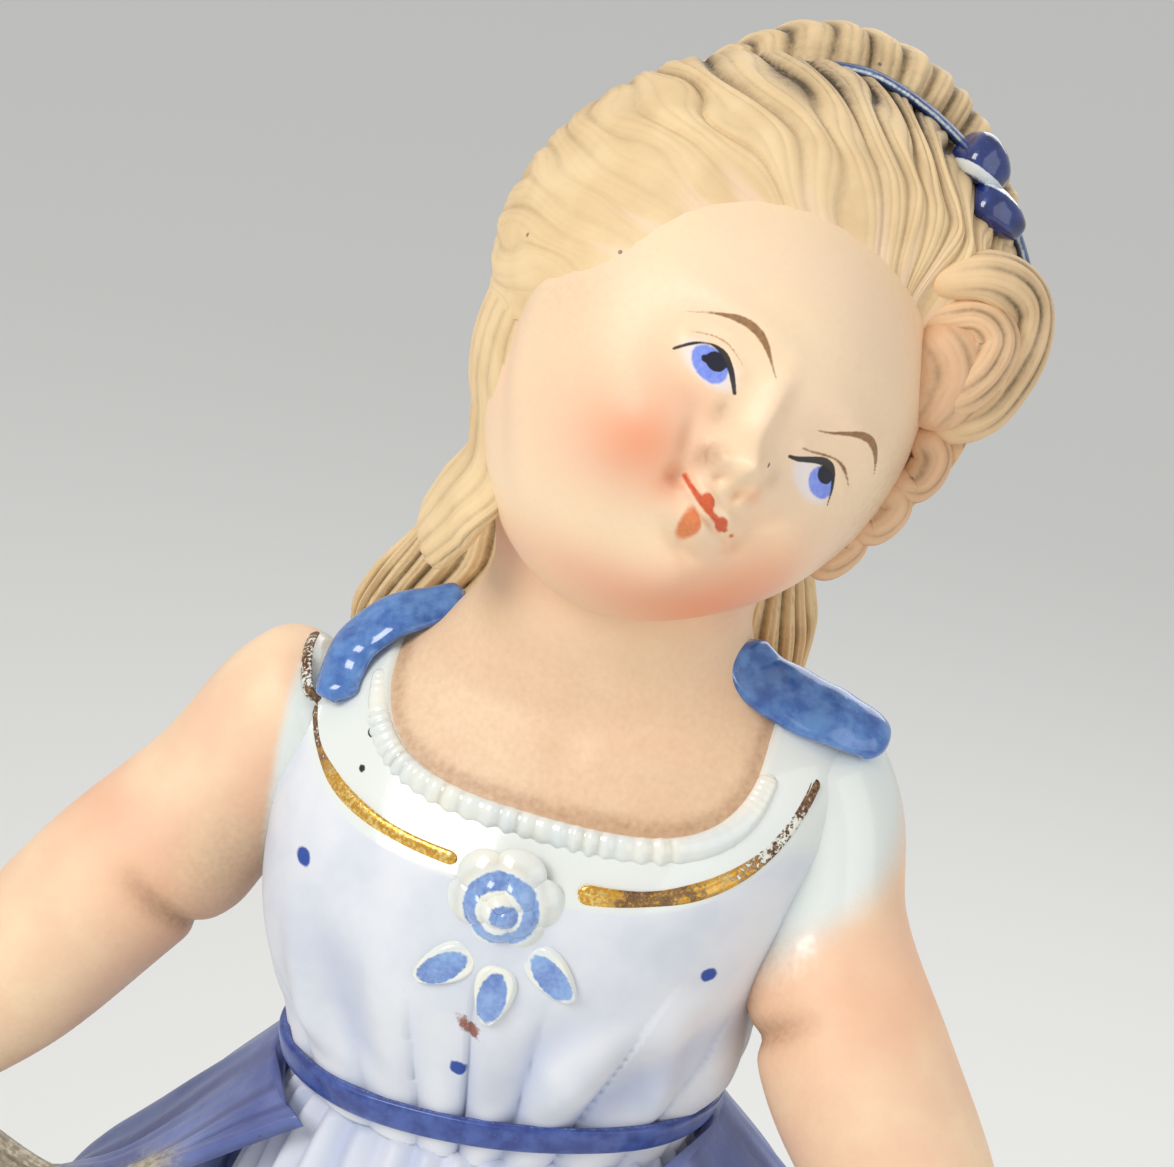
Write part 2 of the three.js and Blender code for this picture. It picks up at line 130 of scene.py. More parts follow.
def wander(x, y, seed=0):
    """A gentle uneven wave between about -1 and 1."""
    rng = np.random.default_rng(seed)
    total = 0
    for strength in (1, 0.7, 0.5):
        a, b, c = rng.uniform(0.6, 1.6, 2) / strength, rng.uniform(0, 6.3), rng.uniform(0, 6.3)
        total = total + strength * np.sin(a[0] * x + b) * np.cos(a[1] * y + c)
    return total / 1.6


def mesh_from(points, name, where=FIGURE, wrap=True, caps=False, fields=None):
    """A closed mesh from a grid of points; fields are numbers per point that the paint reads."""
    rows, columns = points.shape[:2]
    bm = bmesh.new()
    bmesh.ops.create_grid(bm, x_segments=columns - 1, y_segments=rows - 1, size=1)
    mesh = bpy.data.meshes.new(name)
    bm.to_mesh(mesh)
    bm.free()
    start = np.zeros(rows * columns * 3)
    mesh.vertices.foreach_get("co", start)
    start = start.reshape(-1, 3)
    column = np.rint((start[:, 0] + 1) / 2 * (columns - 1)).astype(int)
    row = np.rint((start[:, 1] + 1) / 2 * (rows - 1)).astype(int)
    mesh.vertices.foreach_set("co", world(points, where)[row, column].ravel())
    for field, values in (fields or {}).items():
        layer = mesh.attributes.new(field, "FLOAT", "POINT")
        layer.data.foreach_set("value", np.broadcast_to(values, (rows, columns))[row, column].astype(np.float32))
    bm = bmesh.new()
    bm.from_mesh(mesh)
    if wrap:
        bmesh.ops.remove_doubles(bm, verts=bm.verts, dist=2e-6)
    if caps:
        bmesh.ops.holes_fill(bm, edges=[e for e in bm.edges if e.is_boundary])
    bmesh.ops.recalc_face_normals(bm, faces=bm.faces)
    bm.to_mesh(mesh)
    bm.free()
    mesh.shade_smooth()
    return mesh


def piece(name, mesh, finish, slot, *nodes):
    """Hangs a finished mesh on the figure in place of castings."""
    obj = bpy.data.objects.new(name, mesh)
    scene.collection.objects.link(obj)
    mesh.materials.clear()
    mesh.materials.append(finish)
    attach(obj, "root")
    if nodes:
        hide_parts(*nodes)
    print(f"{name}: {len(mesh.polygons)} faces")
    return obj


# %% [markdown]
# Tubes and bands are grids too: rings of points set square to a path. A flat factor squeezes the ring, and the ends
# close in a round cap.

# %% Rolled coils
def tube(path, radii, rows=60, around=24, flat=1.0, up=(0, 0, 1), cap=1.0):
    """A round-ended coil along a path; radii follow it, flat squeezes it along its second side."""
    line = through(path, 400)
    steps = np.linalg.norm(np.diff(line, axis=0), axis=1)
    run = np.concatenate([[0], np.cumsum(steps)])
    size = through(np.asarray(radii, float), 400)
    t = (1 - np.cos(np.linspace(0, np.pi, rows))) / 2 if cap else np.linspace(0, 1, rows)
    s = t * run[-1]
    centre = np.stack([np.interp(s, run, line[:, k]) for k in range(3)], axis=1)
    radius = np.interp(s, run, size)
    if cap:
        end = np.maximum(size[[0, -1]] * cap, 1e-3)
        reach = np.minimum(1, s / end[0]) * np.minimum(1, (run[-1] - s) / end[1])
        radius = radius * np.sqrt(np.clip(1 - (1 - reach) ** 2, 0, 1))
    tangent = np.gradient(centre, axis=0)
    tangent /= np.linalg.norm(tangent, axis=1, keepdims=True) + 1e-9
    side = np.cross(tangent, np.asarray(up, float))
    side /= np.linalg.norm(side, axis=1, keepdims=True) + 1e-9
    front = np.cross(side, tangent)
    a = np.linspace(0, 2 * np.pi, around + 1)[None, :, None]
    r = radius[:, None, None]
    grid = centre[:, None] + r * (np.cos(a) * side[:, None] + flat * np.sin(a) * front[:, None])
    return grid, t[:, None], a[..., 0]


print("a test coil:", tube([(0, 0, 0), (0, 0, 9)], [1, 1])[0].shape)

# %% [markdown]
# Paint is written as arithmetic. A Paint holds one node socket, so that "1 - mask" adds a Math node, and a Finish
# adds any other node. Distances that the painter's lines need come from fields on the mesh, in millimetres.

# %% Paint arithmetic
class Paint:
    """A socket that Python's operators work on."""

    def __init__(self, finish, out):
        self.finish, self.out = finish, out

    def maths(self, operation, *values):
        return self.finish.node("ShaderNodeMath", {"operation": operation}, *values)

    def __add__(self, other):
        return self.maths("ADD", self, other)

    def __sub__(self, other):
        return self.maths("SUBTRACT", self, other)

    def __rsub__(self, other):
        return self.maths("SUBTRACT", other, self)

    def __mul__(self, other):
        return self.maths("MULTIPLY", self, other)

    def __pow__(self, other):
        return self.maths("POWER", self, other)

    def at_least(self, other):
        return self.maths("MAXIMUM", self, other)

    __radd__, __rmul__ = __add__, __mul__


def shade(r, g, b):
    """A paint chip, given as it looks, as the linear colour that the shader needs."""
    return tuple(((c + 0.055) / 1.055) ** 2.4 if c > 0.04045 else c / 12.92 for c in (r, g, b)) + (1.0,)


class Finish:
    """A material under construction."""

    def __init__(self, name, **constants):
        self.material = bpy.data.materials.new(name)
        self.material.use_nodes = True
        self.tree = self.material.node_tree
        self.shader = self.tree.nodes["Principled BSDF"]
        for socket, value in constants.items():
            self.shader.inputs[socket.replace("_", " ")].default_value = value
        where = self.node("ShaderNodeTexCoord", {}, out="Object")
        self.place = self.node("ShaderNodeVectorMath", {"operation": "SCALE"}, where, Scale=1000.0)

    def feed(self, socket, value):
        if isinstance(value, Paint):
            self.tree.links.new(value.out, socket)
        else:
            socket.default_value = value

    def node(self, kind, settings, *values, out=0, **named):
        made = self.tree.nodes.new(kind)
        for key, value in settings.items():
            setattr(made, key, value)
        for socket, value in zip(made.inputs, values):
            self.feed(socket, value)
        for name, value in named.items():
            self.feed(made.inputs[name.replace("_", " ")], value)
        return Paint(self, made.outputs[out])

    def field(self, name):
        return self.node("ShaderNodeAttribute", {"attribute_name": name}, out="Fac")

    def noise(self, scale, detail=3.0, seed=0.0):
        return self.node("ShaderNodeTexNoise", {"noise_dimensions": "4D"}, Vector=self.place, W=seed, Scale=scale, Detail=detail)

    def step(self, value, low, high):
        """0 below low, 1 above high; high may be the smaller."""
        return self.node("ShaderNodeMapRange", {"interpolation_type": "SMOOTHSTEP"}, value, low, high, 0.0, 1.0)

    def specks(self, spacing, size, seed=0.0):
        """1 in small round specks, about one for each spacing, and only in some cells."""
        cells = self.node("ShaderNodeTexVoronoi", {"voronoi_dimensions": "4D"}, Vector=self.place, W=seed, Scale=1 / spacing)
        tone = self.node("ShaderNodeSeparateColor", {}, Paint(self, cells.out.node.outputs["Color"]))
        return self.step(cells, size / spacing, 0.6 * size / spacing) * self.step(tone, 0.45, 0.55)

    def over(self, factor, below, above):
        """One colour laid over another."""
        mix = self.node("ShaderNodeMix", {"data_type": "RGBA"}, factor)
        node = mix.out.node
        self.feed(node.inputs[6], below)
        self.feed(node.inputs[7], above)
        return Paint(self, node.outputs[2])

    def done(self, colour, roughness, relief=None, depth=0.02, **driven):
        """Connects the colour, the roughness and a relief in millimetres, and gives the material."""
        self.feed(self.shader.inputs["Base Color"], colour)
        self.feed(self.shader.inputs["Roughness"], roughness)
        for name, value in driven.items():
            self.feed(self.shader.inputs[name.replace("_", " ")], value)
        if relief is not None:
            bump = self.node("ShaderNodeBump", {}, Strength=1.0, Distance=depth * 0.001, Height=relief)
            self.tree.links.new(bump.out, self.shader.inputs["Normal"])
        return self.material


DIRT = shade(0.44, 0.36, 0.26)
print("a paint chip:", [round(c, 3) for c in shade(0.5, 0.5, 0.5)])

# %% [markdown]
# Skin is bisque with a thin flesh tint. It is matt but not dead: a faint sheen, warm blush dusted on cheeks and
# chin, kiln specks, and a little grime and painted shade in the hollows. Two fields say where blush goes and where
# grime and painted shade go.

# %% Skin finish
def skin_body(finish, tint):
    """Skin colour with its uneven tint, blush, grime and painted shade, and specks."""
    cloud = finish.noise(0.11, 4)
    fine = finish.noise(1.6, 3, 3)
    colour = finish.over(finish.step(cloud, 0.3, 0.7), tint, shade(0.97, 0.865, 0.72))
    colour = finish.over(finish.step(fine, 0.35, 0.75) * 0.12, colour, shade(0.93, 0.76, 0.62))
    colour = finish.over(finish.field("blush"), colour, shade(0.93, 0.62, 0.47))
    # Grime, and painted shade in hollows and on shaded sides, laid in one brown.
    colour = finish.over(finish.field("grime_and_shade") * (0.35 + fine * 0.8), colour, shade(0.62, 0.46, 0.33))
    return finish.over(finish.specks(5.5, 0.32) * 0.7, colour, DIRT), fine


def skin_finish(name, tint):
    finish = Finish(name, Specular_IOR_Level=0.45, Coat_Weight=0.12, Coat_Roughness=0.35)
    colour, fine = skin_body(finish, tint)
    return finish.done(colour, 0.42 + fine * 0.16, finish.noise(5, 2), 0.012)


body_skin = skin_finish("tinted_bisque", shade(0.93, 0.80, 0.66))
print("skin ready:", body_skin.name)

# %% [markdown]
# The head is an egg with a narrower jaw. Its points start as a sphere's whose pole is in the middle of the face, so
# that they lie closest together where the painter works. Each stroke below pushes the clay out or in, as a thumb does.

# %% Head form
def egg(x, y, z):
    """The plain head under the features, for a direction from its centre."""
    low = np.maximum(0, -z) ** 2
    back = np.where(y > 0, 0.3, 0.05)
    under_lock = 1 - 0.085 * soft(-x, 0.3, 0.8) * soft(y, -0.35, -0.05)
    return np.stack([21.5 * x * (1 - 0.17 * low) * under_lock, 23.5 * y * (1 - back * low) - 1.2 * low, 25 * z], axis=-1)


def push(points, x, z, wide, tall, angle, amount):
    """Pushes the face out by amount at (x, z), over a soft oval."""
    a = math.radians(angle)
    dx, dz = points[..., 0] - x, points[..., 2] - z
    u, v = dx * math.cos(a) + dz * math.sin(a), dz * math.cos(a) - dx * math.sin(a)
    fall = np.exp(-((u / wide) ** 2) - (v / tall) ** 2) * (points[..., 1] < 0)
    points[..., 1] -= amount * fall


FEATURES = [
    (-7.6, -1.0, 4.6, 3.2, -10, -1.8), (8.2, -3.8, 4.4, 3.2, -14, -1.8),  # sockets
    (-7.4, -1.6, 3.1, 2.0, -10, 1.3), (8.4, -4.4, 2.9, 2.0, -14, 1.3),  # eyes
    (-6.5, 3.6, 4.8, 1.7, -4, 0.6), (9.2, 1.1, 4.4, 1.7, -8, 0.6),  # brows
    (-0.9, -2.6, 1.4, 3.6, 4, 1.3),  # bridge
    (-0.4, -7.2, 2.3, 2.1, 0, 3.2), (-0.2, -7.9, 1.4, 1.2, 0, 0.9),  # nose
    (-2.6, -8.2, 1.0, 1.0, 0, 1.3), (2.1, -8.9, 1.0, 1.0, 0, 1.3),  # wings
    (-1.2, -9.6, 0.6, 0.5, 0, -0.8), (1.2, -10.0, 0.6, 0.5, 0, -0.8),  # nostrils
    (0.2, -12.9, 4.8, 3.2, -14, 1.9),  # mouth
    (-1.2, -11.6, 1.6, 0.7, -22, 0.7), (1.9, -12.2, 1.5, 0.7, -8, 0.7), (-0.1, -14.3, 2.2, 0.9, -15, 1.2),  # lips
    (-4.0, -11.4, 1.1, 1.1, 0, -1.3), (4.6, -13.5, 1.1, 1.1, 0, -1.2), (0.8, -16.2, 2.8, 1.1, -18, -1.2),
    (2.8, -19.3, 4.2, 3.2, -20, 2.3),  # chin
    (-10.4, -10.4, 5.6, 5.6, 0, 2.5), (11.2, -12.0, 4.6, 5.2, 0, 2.1),  # cheeks
    (-5.0, -8.6, 1.1, 2.6, 24, -0.8), (5.0, -10.4, 1.1, 2.6, -40, -0.8),
    (-1, 9, 10, 7, 0, 0.7),  # forehead
]


def polar_grid(rings, sectors):
    """Directions round a pole that looks along -y, closest together near it."""
    t = np.interp(np.linspace(0, 1, rings), [0, 0.76, 1], [0, math.radians(86), math.pi])
    f = np.linspace(0, 2 * np.pi, sectors + 1)
    t, f = np.meshgrid(t, f, indexing="ij")
    return np.stack([np.sin(t) * np.cos(f), -np.cos(t), np.sin(t) * np.sin(f)], axis=-1)


face = egg(*np.moveaxis(polar_grid(210, 380), -1, 0))
for stroke in FEATURES:
    push(face, *stroke)
print("face points:", face.shape[0] * face.shape[1], "nose reaches", face[..., 1].min().round(1))

# %% [markdown]
# The face is painted with a liner brush over the bisque. Each line is a list of points with a width, and a field
# holds how far each point of the face lies outside it, so the shader can lay a crisp or a soft edge.

# %% Painter's lines
def outside(points, line, *widths):
    """Distance in millimetres outside a brush line through (x, z) points; widths run along it."""
    line = through(line, 8 * len(line)) if len(line) > 2 else np.asarray(line, float)
    half = np.interp(np.linspace(0, 1, len(line)), np.linspace(0, 1, len(widths)), widths) / 2
    flat = points[..., [0, 2]]
    best = np.full(flat.shape[:-1], 99.0)
    for a, b, ra, rb in zip(line, line[1:], half, half[1:]):
        t = np.clip(((flat - a) @ (b - a)) / ((b - a) @ (b - a) + 1e-9), 0, 1)
        gap = np.linalg.norm(flat - a - t[..., None] * (b - a), axis=-1) - (ra + t * (rb - ra))
        best = np.minimum(best, gap)
    return np.where(points[..., 1] < 0, best, 99.0)


def oval(points, x, z, wide, tall, angle=0):
    """Roughly the distance outside an oval."""
    a = math.radians(angle)
    dx, dz = points[..., 0] - x, points[..., 2] - z
    u, v = dx * math.cos(a) + dz * math.sin(a), dz * math.cos(a) - dx * math.sin(a)
    reach = np.hypot(u / wide, v / tall)
    return np.where(points[..., 1] < 0, (reach - 1) * min(wide, tall), 99.0)


def first_of(*distances):
    return np.minimum.reduce(distances)


def arch(start, end, rise, peak=0.5, count=9):
    """(x, z) points of a brush stroke that rises off its chord, highest at the given part of it."""
    t = np.linspace(0, 1, count)[:, None]
    start, end = np.array(start, float), np.array(end, float)
    along = (end - start) / np.linalg.norm(end - start)
    lift = rise * np.sin(np.pi * t ** (math.log(0.5) / math.log(peak)))
    return start + (end - start) * t + lift * np.array([-along[1], along[0]])


lash = first_of(
    outside(face, arch((-10.5, -2), (-4.2, -2.5), 2.4, 0.45), 0.25, 0.3, 0.15, 0.3, 0.6, 0.55, 0.5, 0.35),
    outside(face, arch((3.6, -4.3), (10.4, -5.6), 2.5, 0.6), 0.3, 0.5, 0.6, 0.75, 0.7, 0.5, 0.35, 0.15),
    oval(face, -7, -1, 0.95, 0.88), oval(face, -7.9, -1.3, 0.4, 0.34),
    oval(face, 8.2, -3.5, 1, 0.9), oval(face, 1.9, -6.2, 0.15, 0.25),
)
brow = first_of(
    outside(face, arch((-11.2, 1.5), (-2, 0.6), 2.3), 0.06, 0.1, 0.35, 0.7, 0.8, 0.7, 0.5, 0.2, 0.08),
    outside(face, arch((4.5, -0.9), (13.4, -0.7), 2.15, 0.6), 0.08, 0.25, 0.45, 0.75, 0.85, 0.5, 0.1),
    outside(face, arch((-10, 0.2), (-4.9, 0), 0.85), 0.05, 0.14, 0.12, 0.05),
    outside(face, arch((4.2, -3), (11.6, -3.1), 1.2, 0.6), 0.12, 0.25, 0.2, 0.4, 0.1),
)
iris = first_of(oval(face, -7.35, -1.5, 1.85, 1.4, -24), oval(face, 8.3, -4.35, 1.7, 1.35, -14))
white = first_of(oval(face, -7.3, -1.6, 3.1, 1.7, -12), oval(face, 7.2, -4.8, 3.1, 1.7, -14))
lips = first_of(
    outside(face, arch((-3.5, -10.9), (2.7, -13.1), -0.5, 0.4), 0.3, 0.4, 0.5, 0.55, 0.5, 0.6, 0.4),
    oval(face, -0.9, -12, 0.95, 0.55, -40), oval(face, 1.7, -12.9, 0.9, 0.5, -30),
    oval(face, 3.9, -13, 0.3, 0.17),
)
lower_lip = oval(face, -0.7, -14.4, 1.7, 0.75, -52)
print("painted points:", int((lash < 0).sum() + (brow < 0).sum() + (lips < 0).sum()))

# %% [markdown]
# Blush was dusted on with a dry brush, so it has no edge. Shade is painted, in a grime colour, beside the nose, at
# the mouth, under the lip and at the hairline. The parting of the lips is then carved a little under its paint, and
# the eyelid raised a little along its line.

# %% Blush and painted shade
def dusting(points, spots):
    """Soft spots (x, z, wide, tall, strength) added up."""
    total = np.zeros(points.shape[:-1])
    for x, z, wide, tall, strength in spots:
        total += strength * np.exp(-(((points[..., 0] - x) / wide) ** 2) - ((points[..., 2] - z) / tall) ** 2)
    return np.clip(total * (points[..., 1] < 3), 0, 1)


blush = dusting(face, [(-8.4, -11.0, 4.8, 4.4, 0.8), (10.5, -15.0, 5.5, 5.0, 0.7), (7.5, -20.0, 7, 3.6, 0.75), (-4.1, -12.6, 1.6, 1.6, 0.4),
                       (2.4, -9.2, 1.3, 0.9, 0.45), (-13, -7, 6, 6, 0.3), (-1, -22.6, 8, 2.6, 0.5), (-6.5, -4.8, 3, 1.6, 0.25)])
# Painted shade in a grime colour: beside and under the nose, at the corners and parting of the mouth, under the lower
# lip and at the sides of the face by the hair.
grime_and_shade = dusting(face, [(-3.6, -8.6, 0.9, 1.3, 0.8), (-4.6, -4.4, 0.7, 1.4, 0.4), (3.4, -6.9, 0.8, 1.0, 0.35), (-3.9, -12.2, 1.0, 0.9, 0.4),
                       (18, 2, 4, 9, 0.45), (19, -10, 4, 6, 0.4), (-19, -2, 3, 5, 0.2), (1.2, -16.2, 1.8, 0.7, 0.25), (0.6, -13.3, 0.8, 0.4, 0.3)])
face[..., 1] += 0.35 * np.exp(-((outside(face, [(-3.4, -11.3), (-0.2, -13.0), (3.6, -13.5)], 0.1, 0.1) / 0.45) ** 2))
lid = first_of(outside(face, [(-9.9, -0.3), (-7.2, 0.8), (-4.7, -0.6)], 0.1, 0.1), outside(face, [(4.4, -2.9), (8.0, -2.0), (11.2, -3.4)], 0.1, 0.1))
face[..., 1] -= 0.28 * np.exp(-((lid / 0.7) ** 2))
fields = dict(blush=blush, grime_and_shade=grime_and_shade, lash=lash, brow=brow, iris=iris, white=white, lips=lips, lower_lip=lower_lip)
head_mesh = mesh_from(face, "head", HEAD, fields=fields)
print("head faces:", len(head_mesh.polygons))

# %% Face finish
finish = Finish("painted_face", Specular_IOR_Level=0.45, Coat_Weight=0.15, Coat_Roughness=0.3)
colour, fine = skin_body(finish, shade(0.965, 0.85, 0.72))
streak = finish.noise(2.6, 4, 8)
shake = (streak - 0.5) * 0.16
colour = finish.over(finish.step(finish.field("white"), 0.25, -0.7) * 0.85, colour, shade(0.93, 0.90, 0.90))
blue = finish.over(streak, shade(0.36, 0.45, 0.88), shade(0.62, 0.70, 0.97))
colour = finish.over(finish.step(finish.field("iris") + shake, 0.12, -0.12), colour, blue)
brown = finish.over(streak, shade(0.36, 0.22, 0.10), shade(0.68, 0.48, 0.27))
colour = finish.over(finish.step(finish.field("brow") + shake, 0.08, -0.1) * 0.92, colour, brown)
red = finish.over(streak, shade(0.72, 0.19, 0.06), shade(0.92, 0.40, 0.16))
colour = finish.over(finish.step(finish.field("lips") + shake, 0.1, -0.12) * 0.95, colour, red)
orange = finish.over(streak, shade(0.80, 0.34, 0.12), shade(0.93, 0.55, 0.28))
colour = finish.over(finish.step(finish.field("lower_lip") + shake, 0.15, -0.2) * 0.92, colour, orange)
ink = finish.step(finish.field("lash") + shake * 0.6, 0.07, -0.07)
colour = finish.over(ink * 0.97, colour, shade(0.07, 0.05, 0.06))
painted = ink.at_least(finish.step(finish.field("iris"), 0.1, -0.1))
face_finish = finish.done(colour, 0.42 + fine * 0.16 - painted * 0.2, finish.noise(5, 2), 0.012)
head = piece("head", head_mesh, face_finish, "skin_bisque", "head")

# %% [markdown]
# Hair is laid as a sheet of wet clay and combed: guide strands run from the band to the hairline, the sheet passes
# through them, and combing cuts sharp valleys between round strands. Dirt and painted shade darken the valleys, so
# the same number that carves them also darkens them.

# %% Combing
def combed(points, phase, depth, wrap=False):
    """Cuts strands into a sheet: phase counts strands across it. Gives the sheet and how dark its valleys are, with
    dirt and painted shade.
    """
    coarse = 1 - np.abs(2 * (phase % 1) - 1) ** 2.4
    fine_phase = phase * 3 + 0.25 * np.sin(phase * 2.1)
    fine = 1 - np.abs(2 * (fine_phase % 1) - 1) ** 2.2
    carved = points + outward(points, wrap) * (depth * (0.75 * coarse + 0.25 * fine - 0.7))[..., None]
    dirt_and_shade = np.clip(1.1 * (1 - coarse) ** 1.3 + 0.3 * (1 - fine) ** 2, 0, 1)
    return carved, dirt_and_shade


HAIR_CENTRE, HAIR_SIZE = np.array([3, 1.5, 7.2]), np.array([27.3, 25, 26.9])


def reach(way, size, centre=(0, 0, 0)):
    """How far an ellipsoid's surface lies along directions from the head's centre."""
    d, c = way / size, np.asarray(centre, float) / size
    a, b = (d * d).sum(axis=-1), (d * c).sum(axis=-1)
    return (b + np.sqrt(np.maximum(b * b - a * ((c * c).sum() - 1), 0))) / a


def on_band(clock, size=HAIR_SIZE, centre=HAIR_CENTRE):
    """The point of the band at an angle from the top: it crosses the hair in a slanting, turned plane."""
    s, c, y = np.sin(clock), np.cos(clock), np.zeros_like(clock)
    for _ in range(25):
        r = np.sqrt(np.maximum(0.05, 1 - ((y - centre[1]) / size[1]) ** 2)) / np.hypot(s / size[0], c / size[2])
        x, z = centre[0] + r * s, centre[2] + r * c
        y = -5.8 - 0.36 * x + 0.226 * (30 - z)
    return np.stack([x, y, z], axis=-1)


# %% [markdown]
# The front roll sweeps from the band over its crest to the forehead. High on her right the strands run across before
# they turn down to the hairline, in nested arcs; the strands at both temples run straight down.

# %% Front roll
def hairline(clock):
    """Where the strand from this place on the band meets the skin: an oval that flares by the ears."""
    lean = 15 + 24 * np.exp(-(((np.degrees(clock) + 30) / 32) ** 2))
    turn = clock + np.radians(lean)
    wide = np.where(turn < 0, 16.2, 18.2) + 3 * soft(np.abs(turn), 1.3, 1.9)
    x = 0.5 + wide * np.sign(np.sin(turn)) * np.abs(np.sin(turn)) ** 0.9
    z = 15.5 * np.sign(np.cos(turn)) * np.abs(np.cos(turn)) ** 0.8
    y = -23.5 * np.sqrt(np.clip(1 - (x / 21.5) ** 2 - (z / 25) ** 2, 0.02, 1))
    return np.stack([x, y, z], axis=-1)


def unit(vectors):
    return vectors / np.linalg.norm(vectors, axis=-1, keepdims=True)


across = np.linspace(0, 1, 700)[None, :]
down = np.linspace(0, 1, 150)[:, None]
clock = np.radians(-114 + 140 * across[0] + 76 * across[0] ** 2)
root, tip = unit(on_band(clock)), unit(hairline(clock))
sag = -0.1 * unit(np.cross(root, tip))
step_down = down[..., None]
way = unit(root * (1 - step_down) + tip * step_down + sag * np.sin(np.pi * step_down))
lift = soft(1 - down, 0.0, 0.36)
thin = 1 - 0.15 * soft(across, 0.8, 0.97) - 0.05 * soft(-across, -0.12, 0)
full = reach(way, HAIR_SIZE, HAIR_CENTRE) * thin
skin = reach(way, np.array([21.5, 23.5, 25])) * 0.985
open_top = soft(across, 0.42, 0.52) * (1 - soft(across, 0.78, 0.86))
groove = 1 - (0.075 - 0.055 * open_top) * (1 - soft(down, -0.02, 0.07)) - 0.13 * (1 - soft(down, 0, 0.03))
front = way * ((full * lift + skin * (1 - lift)) * groove)[..., None]
count = across * 25 + 0.5 * wander(down * 3, across * 16, 4) + 0.25 * wander(down * 9, across * 40, 5)
middle = soft(across, 0.26, 0.40) * (1 - 0.45 * soft(across, 0.68, 0.8))
strength = (0.36 + 0.64 * middle) * (0.15 + 0.85 * soft(1 - down, 0.02, 0.6)) * (0.7 + 0.3 * wander(down * 4, across * 22, 6))
front, valley = combed(front, count, 1.5 * strength)
# How strongly dirt and painted shade darken the valleys: most near the band.
valley_darkening = (0.2 + 0.8 * soft(1 - down, 0.3, 0.85)) * (0.22 + 0.78 * soft(across, 0.3, 0.44)) * (1 - 0.3 * soft(across, 0.7, 0.85))
# Painted shade, warmed like light reflected from the skin, grows towards the hairline at her left temple.
rosy_shade = soft(across, 0.74, 0.95) * (0.4 + 0.6 * down)
wash = 0.3 * soft(1 - down, 0.55, 1) * soft(across, 0.35, 0.5) + 0.15 * soft(1 - down, 0.8, 1)
thin_end = soft(down + 0.16 * (wander(down * 3, across * 60, 7) - 0.5) + 0.05 * valley, 0.74, 1.0)
front_mesh = mesh_from(front, "hair_front", HEAD, wrap=False, fields=dict(dirt_and_shade=valley * valley_darkening + wash, rosy_shade=rosy_shade, bare=thin_end))
print("front roll faces:", len(front_mesh.polygons))

# %% Hair finish
finish = Finish("blond_bisque", Specular_IOR_Level=0.4, Coat_Weight=0.05, Coat_Roughness=0.5)
cloud, fine = finish.noise(0.16, 4), finish.noise(2.2, 4, 2)
colour = finish.over(finish.step(cloud, 0.35, 0.65), shade(0.925, 0.815, 0.635), shade(0.885, 0.765, 0.58))
# Painted shade warmed like reflected skin light.
colour = finish.over(finish.field("rosy_shade") * 0.45, colour, shade(0.86, 0.62, 0.50))
colour = finish.over(finish.field("bare") * 0.85, colour, shade(0.97, 0.85, 0.73))
# Dirt and painted shade darken the valleys between the strands.
soil_and_shade = finish.field("dirt_and_shade") * (0.55 + finish.step(cloud + fine * 0.5, 0.5, 0.95) * 0.7)
colour = finish.over(soil_and_shade, colour, shade(0.34, 0.28, 0.20))
colour = finish.over(finish.specks(3.2, 0.3, 5) * 0.75, colour, shade(0.35, 0.30, 0.24))
blond = finish.done(colour, 0.55 + fine * 0.2, finish.noise(3.5, 3, 6), 0.03)
hair_front = piece("hair_front_roll", front_mesh, blond, "hair_bisque", "hair_front_roll")

# %% Crown
CROWN_CENTRE, CROWN_SIZE = np.array([2.5, 3.2, 11.5]), np.array([24, 24, 27.5])
clock = np.radians(np.linspace(-122, 122, 520))
first = on_band(clock, CROWN_SIZE, CROWN_CENTRE)
first = first / np.linalg.norm(first, axis=1, keepdims=True)
last = np.stack([0.2 * np.sin(clock), np.full_like(clock, 0.8), -0.6 + 0.05 * np.cos(clock)], axis=1)
run = np.linspace(0, 1, 150)[:, None]
lean = (run + 0.02 * np.sin(run * 11 + 3 * clock))[..., None]
way = first * (1 - lean) + last * lean + np.array([0, 0.42, 0.3]) * np.sin(np.pi * lean)
way /= np.linalg.norm(way, axis=-1, keepdims=True)
dip = 0.99 - 0.17 * (1 - soft(run, -0.02, 0.05)) - 0.11 * soft(-clock, 0.35, 1.1) * (1 - soft(run, 0.3, 0.75))
crown = way * (reach(way, CROWN_SIZE, CROWN_CENTRE) * dip)[..., None]
across = (clock / np.radians(244) + 0.5)[None, :]
count = across * 34 + 0.55 * wander(run * 6, across * 13, 9) + 0.2 * wander(run * 16, across * 40, 3)
crown, valley = combed(crown, count, 1.5 * (0.45 + 0.55 * soft(1 - run, 0.1, 0.8)) * (0.75 + 0.25 * wander(run * 5, across * 20, 2)))
# Dirt and painted shade in the valleys, and painted shade where the crown meets the band.
crown_fields = dict(dirt_and_shade=valley * (0.85 - 0.4 * run) * soft(run, 0.0, 0.05) + 0.5 * (1 - soft(run, 0, 0.05)), rosy_shade=0 * valley)
crown_mesh = mesh_from(crown, "hair_crown", HEAD, wrap=False, fields=crown_fields)
hair_crown = piece("hair_crown", crown_mesh, blond, "hair_bisque", "hair_crown")

# %% [markdown]
# The long hair hangs down her back and spreads over both shoulders. It is one casting: a flat coil whose strands
# run down it in slow waves.

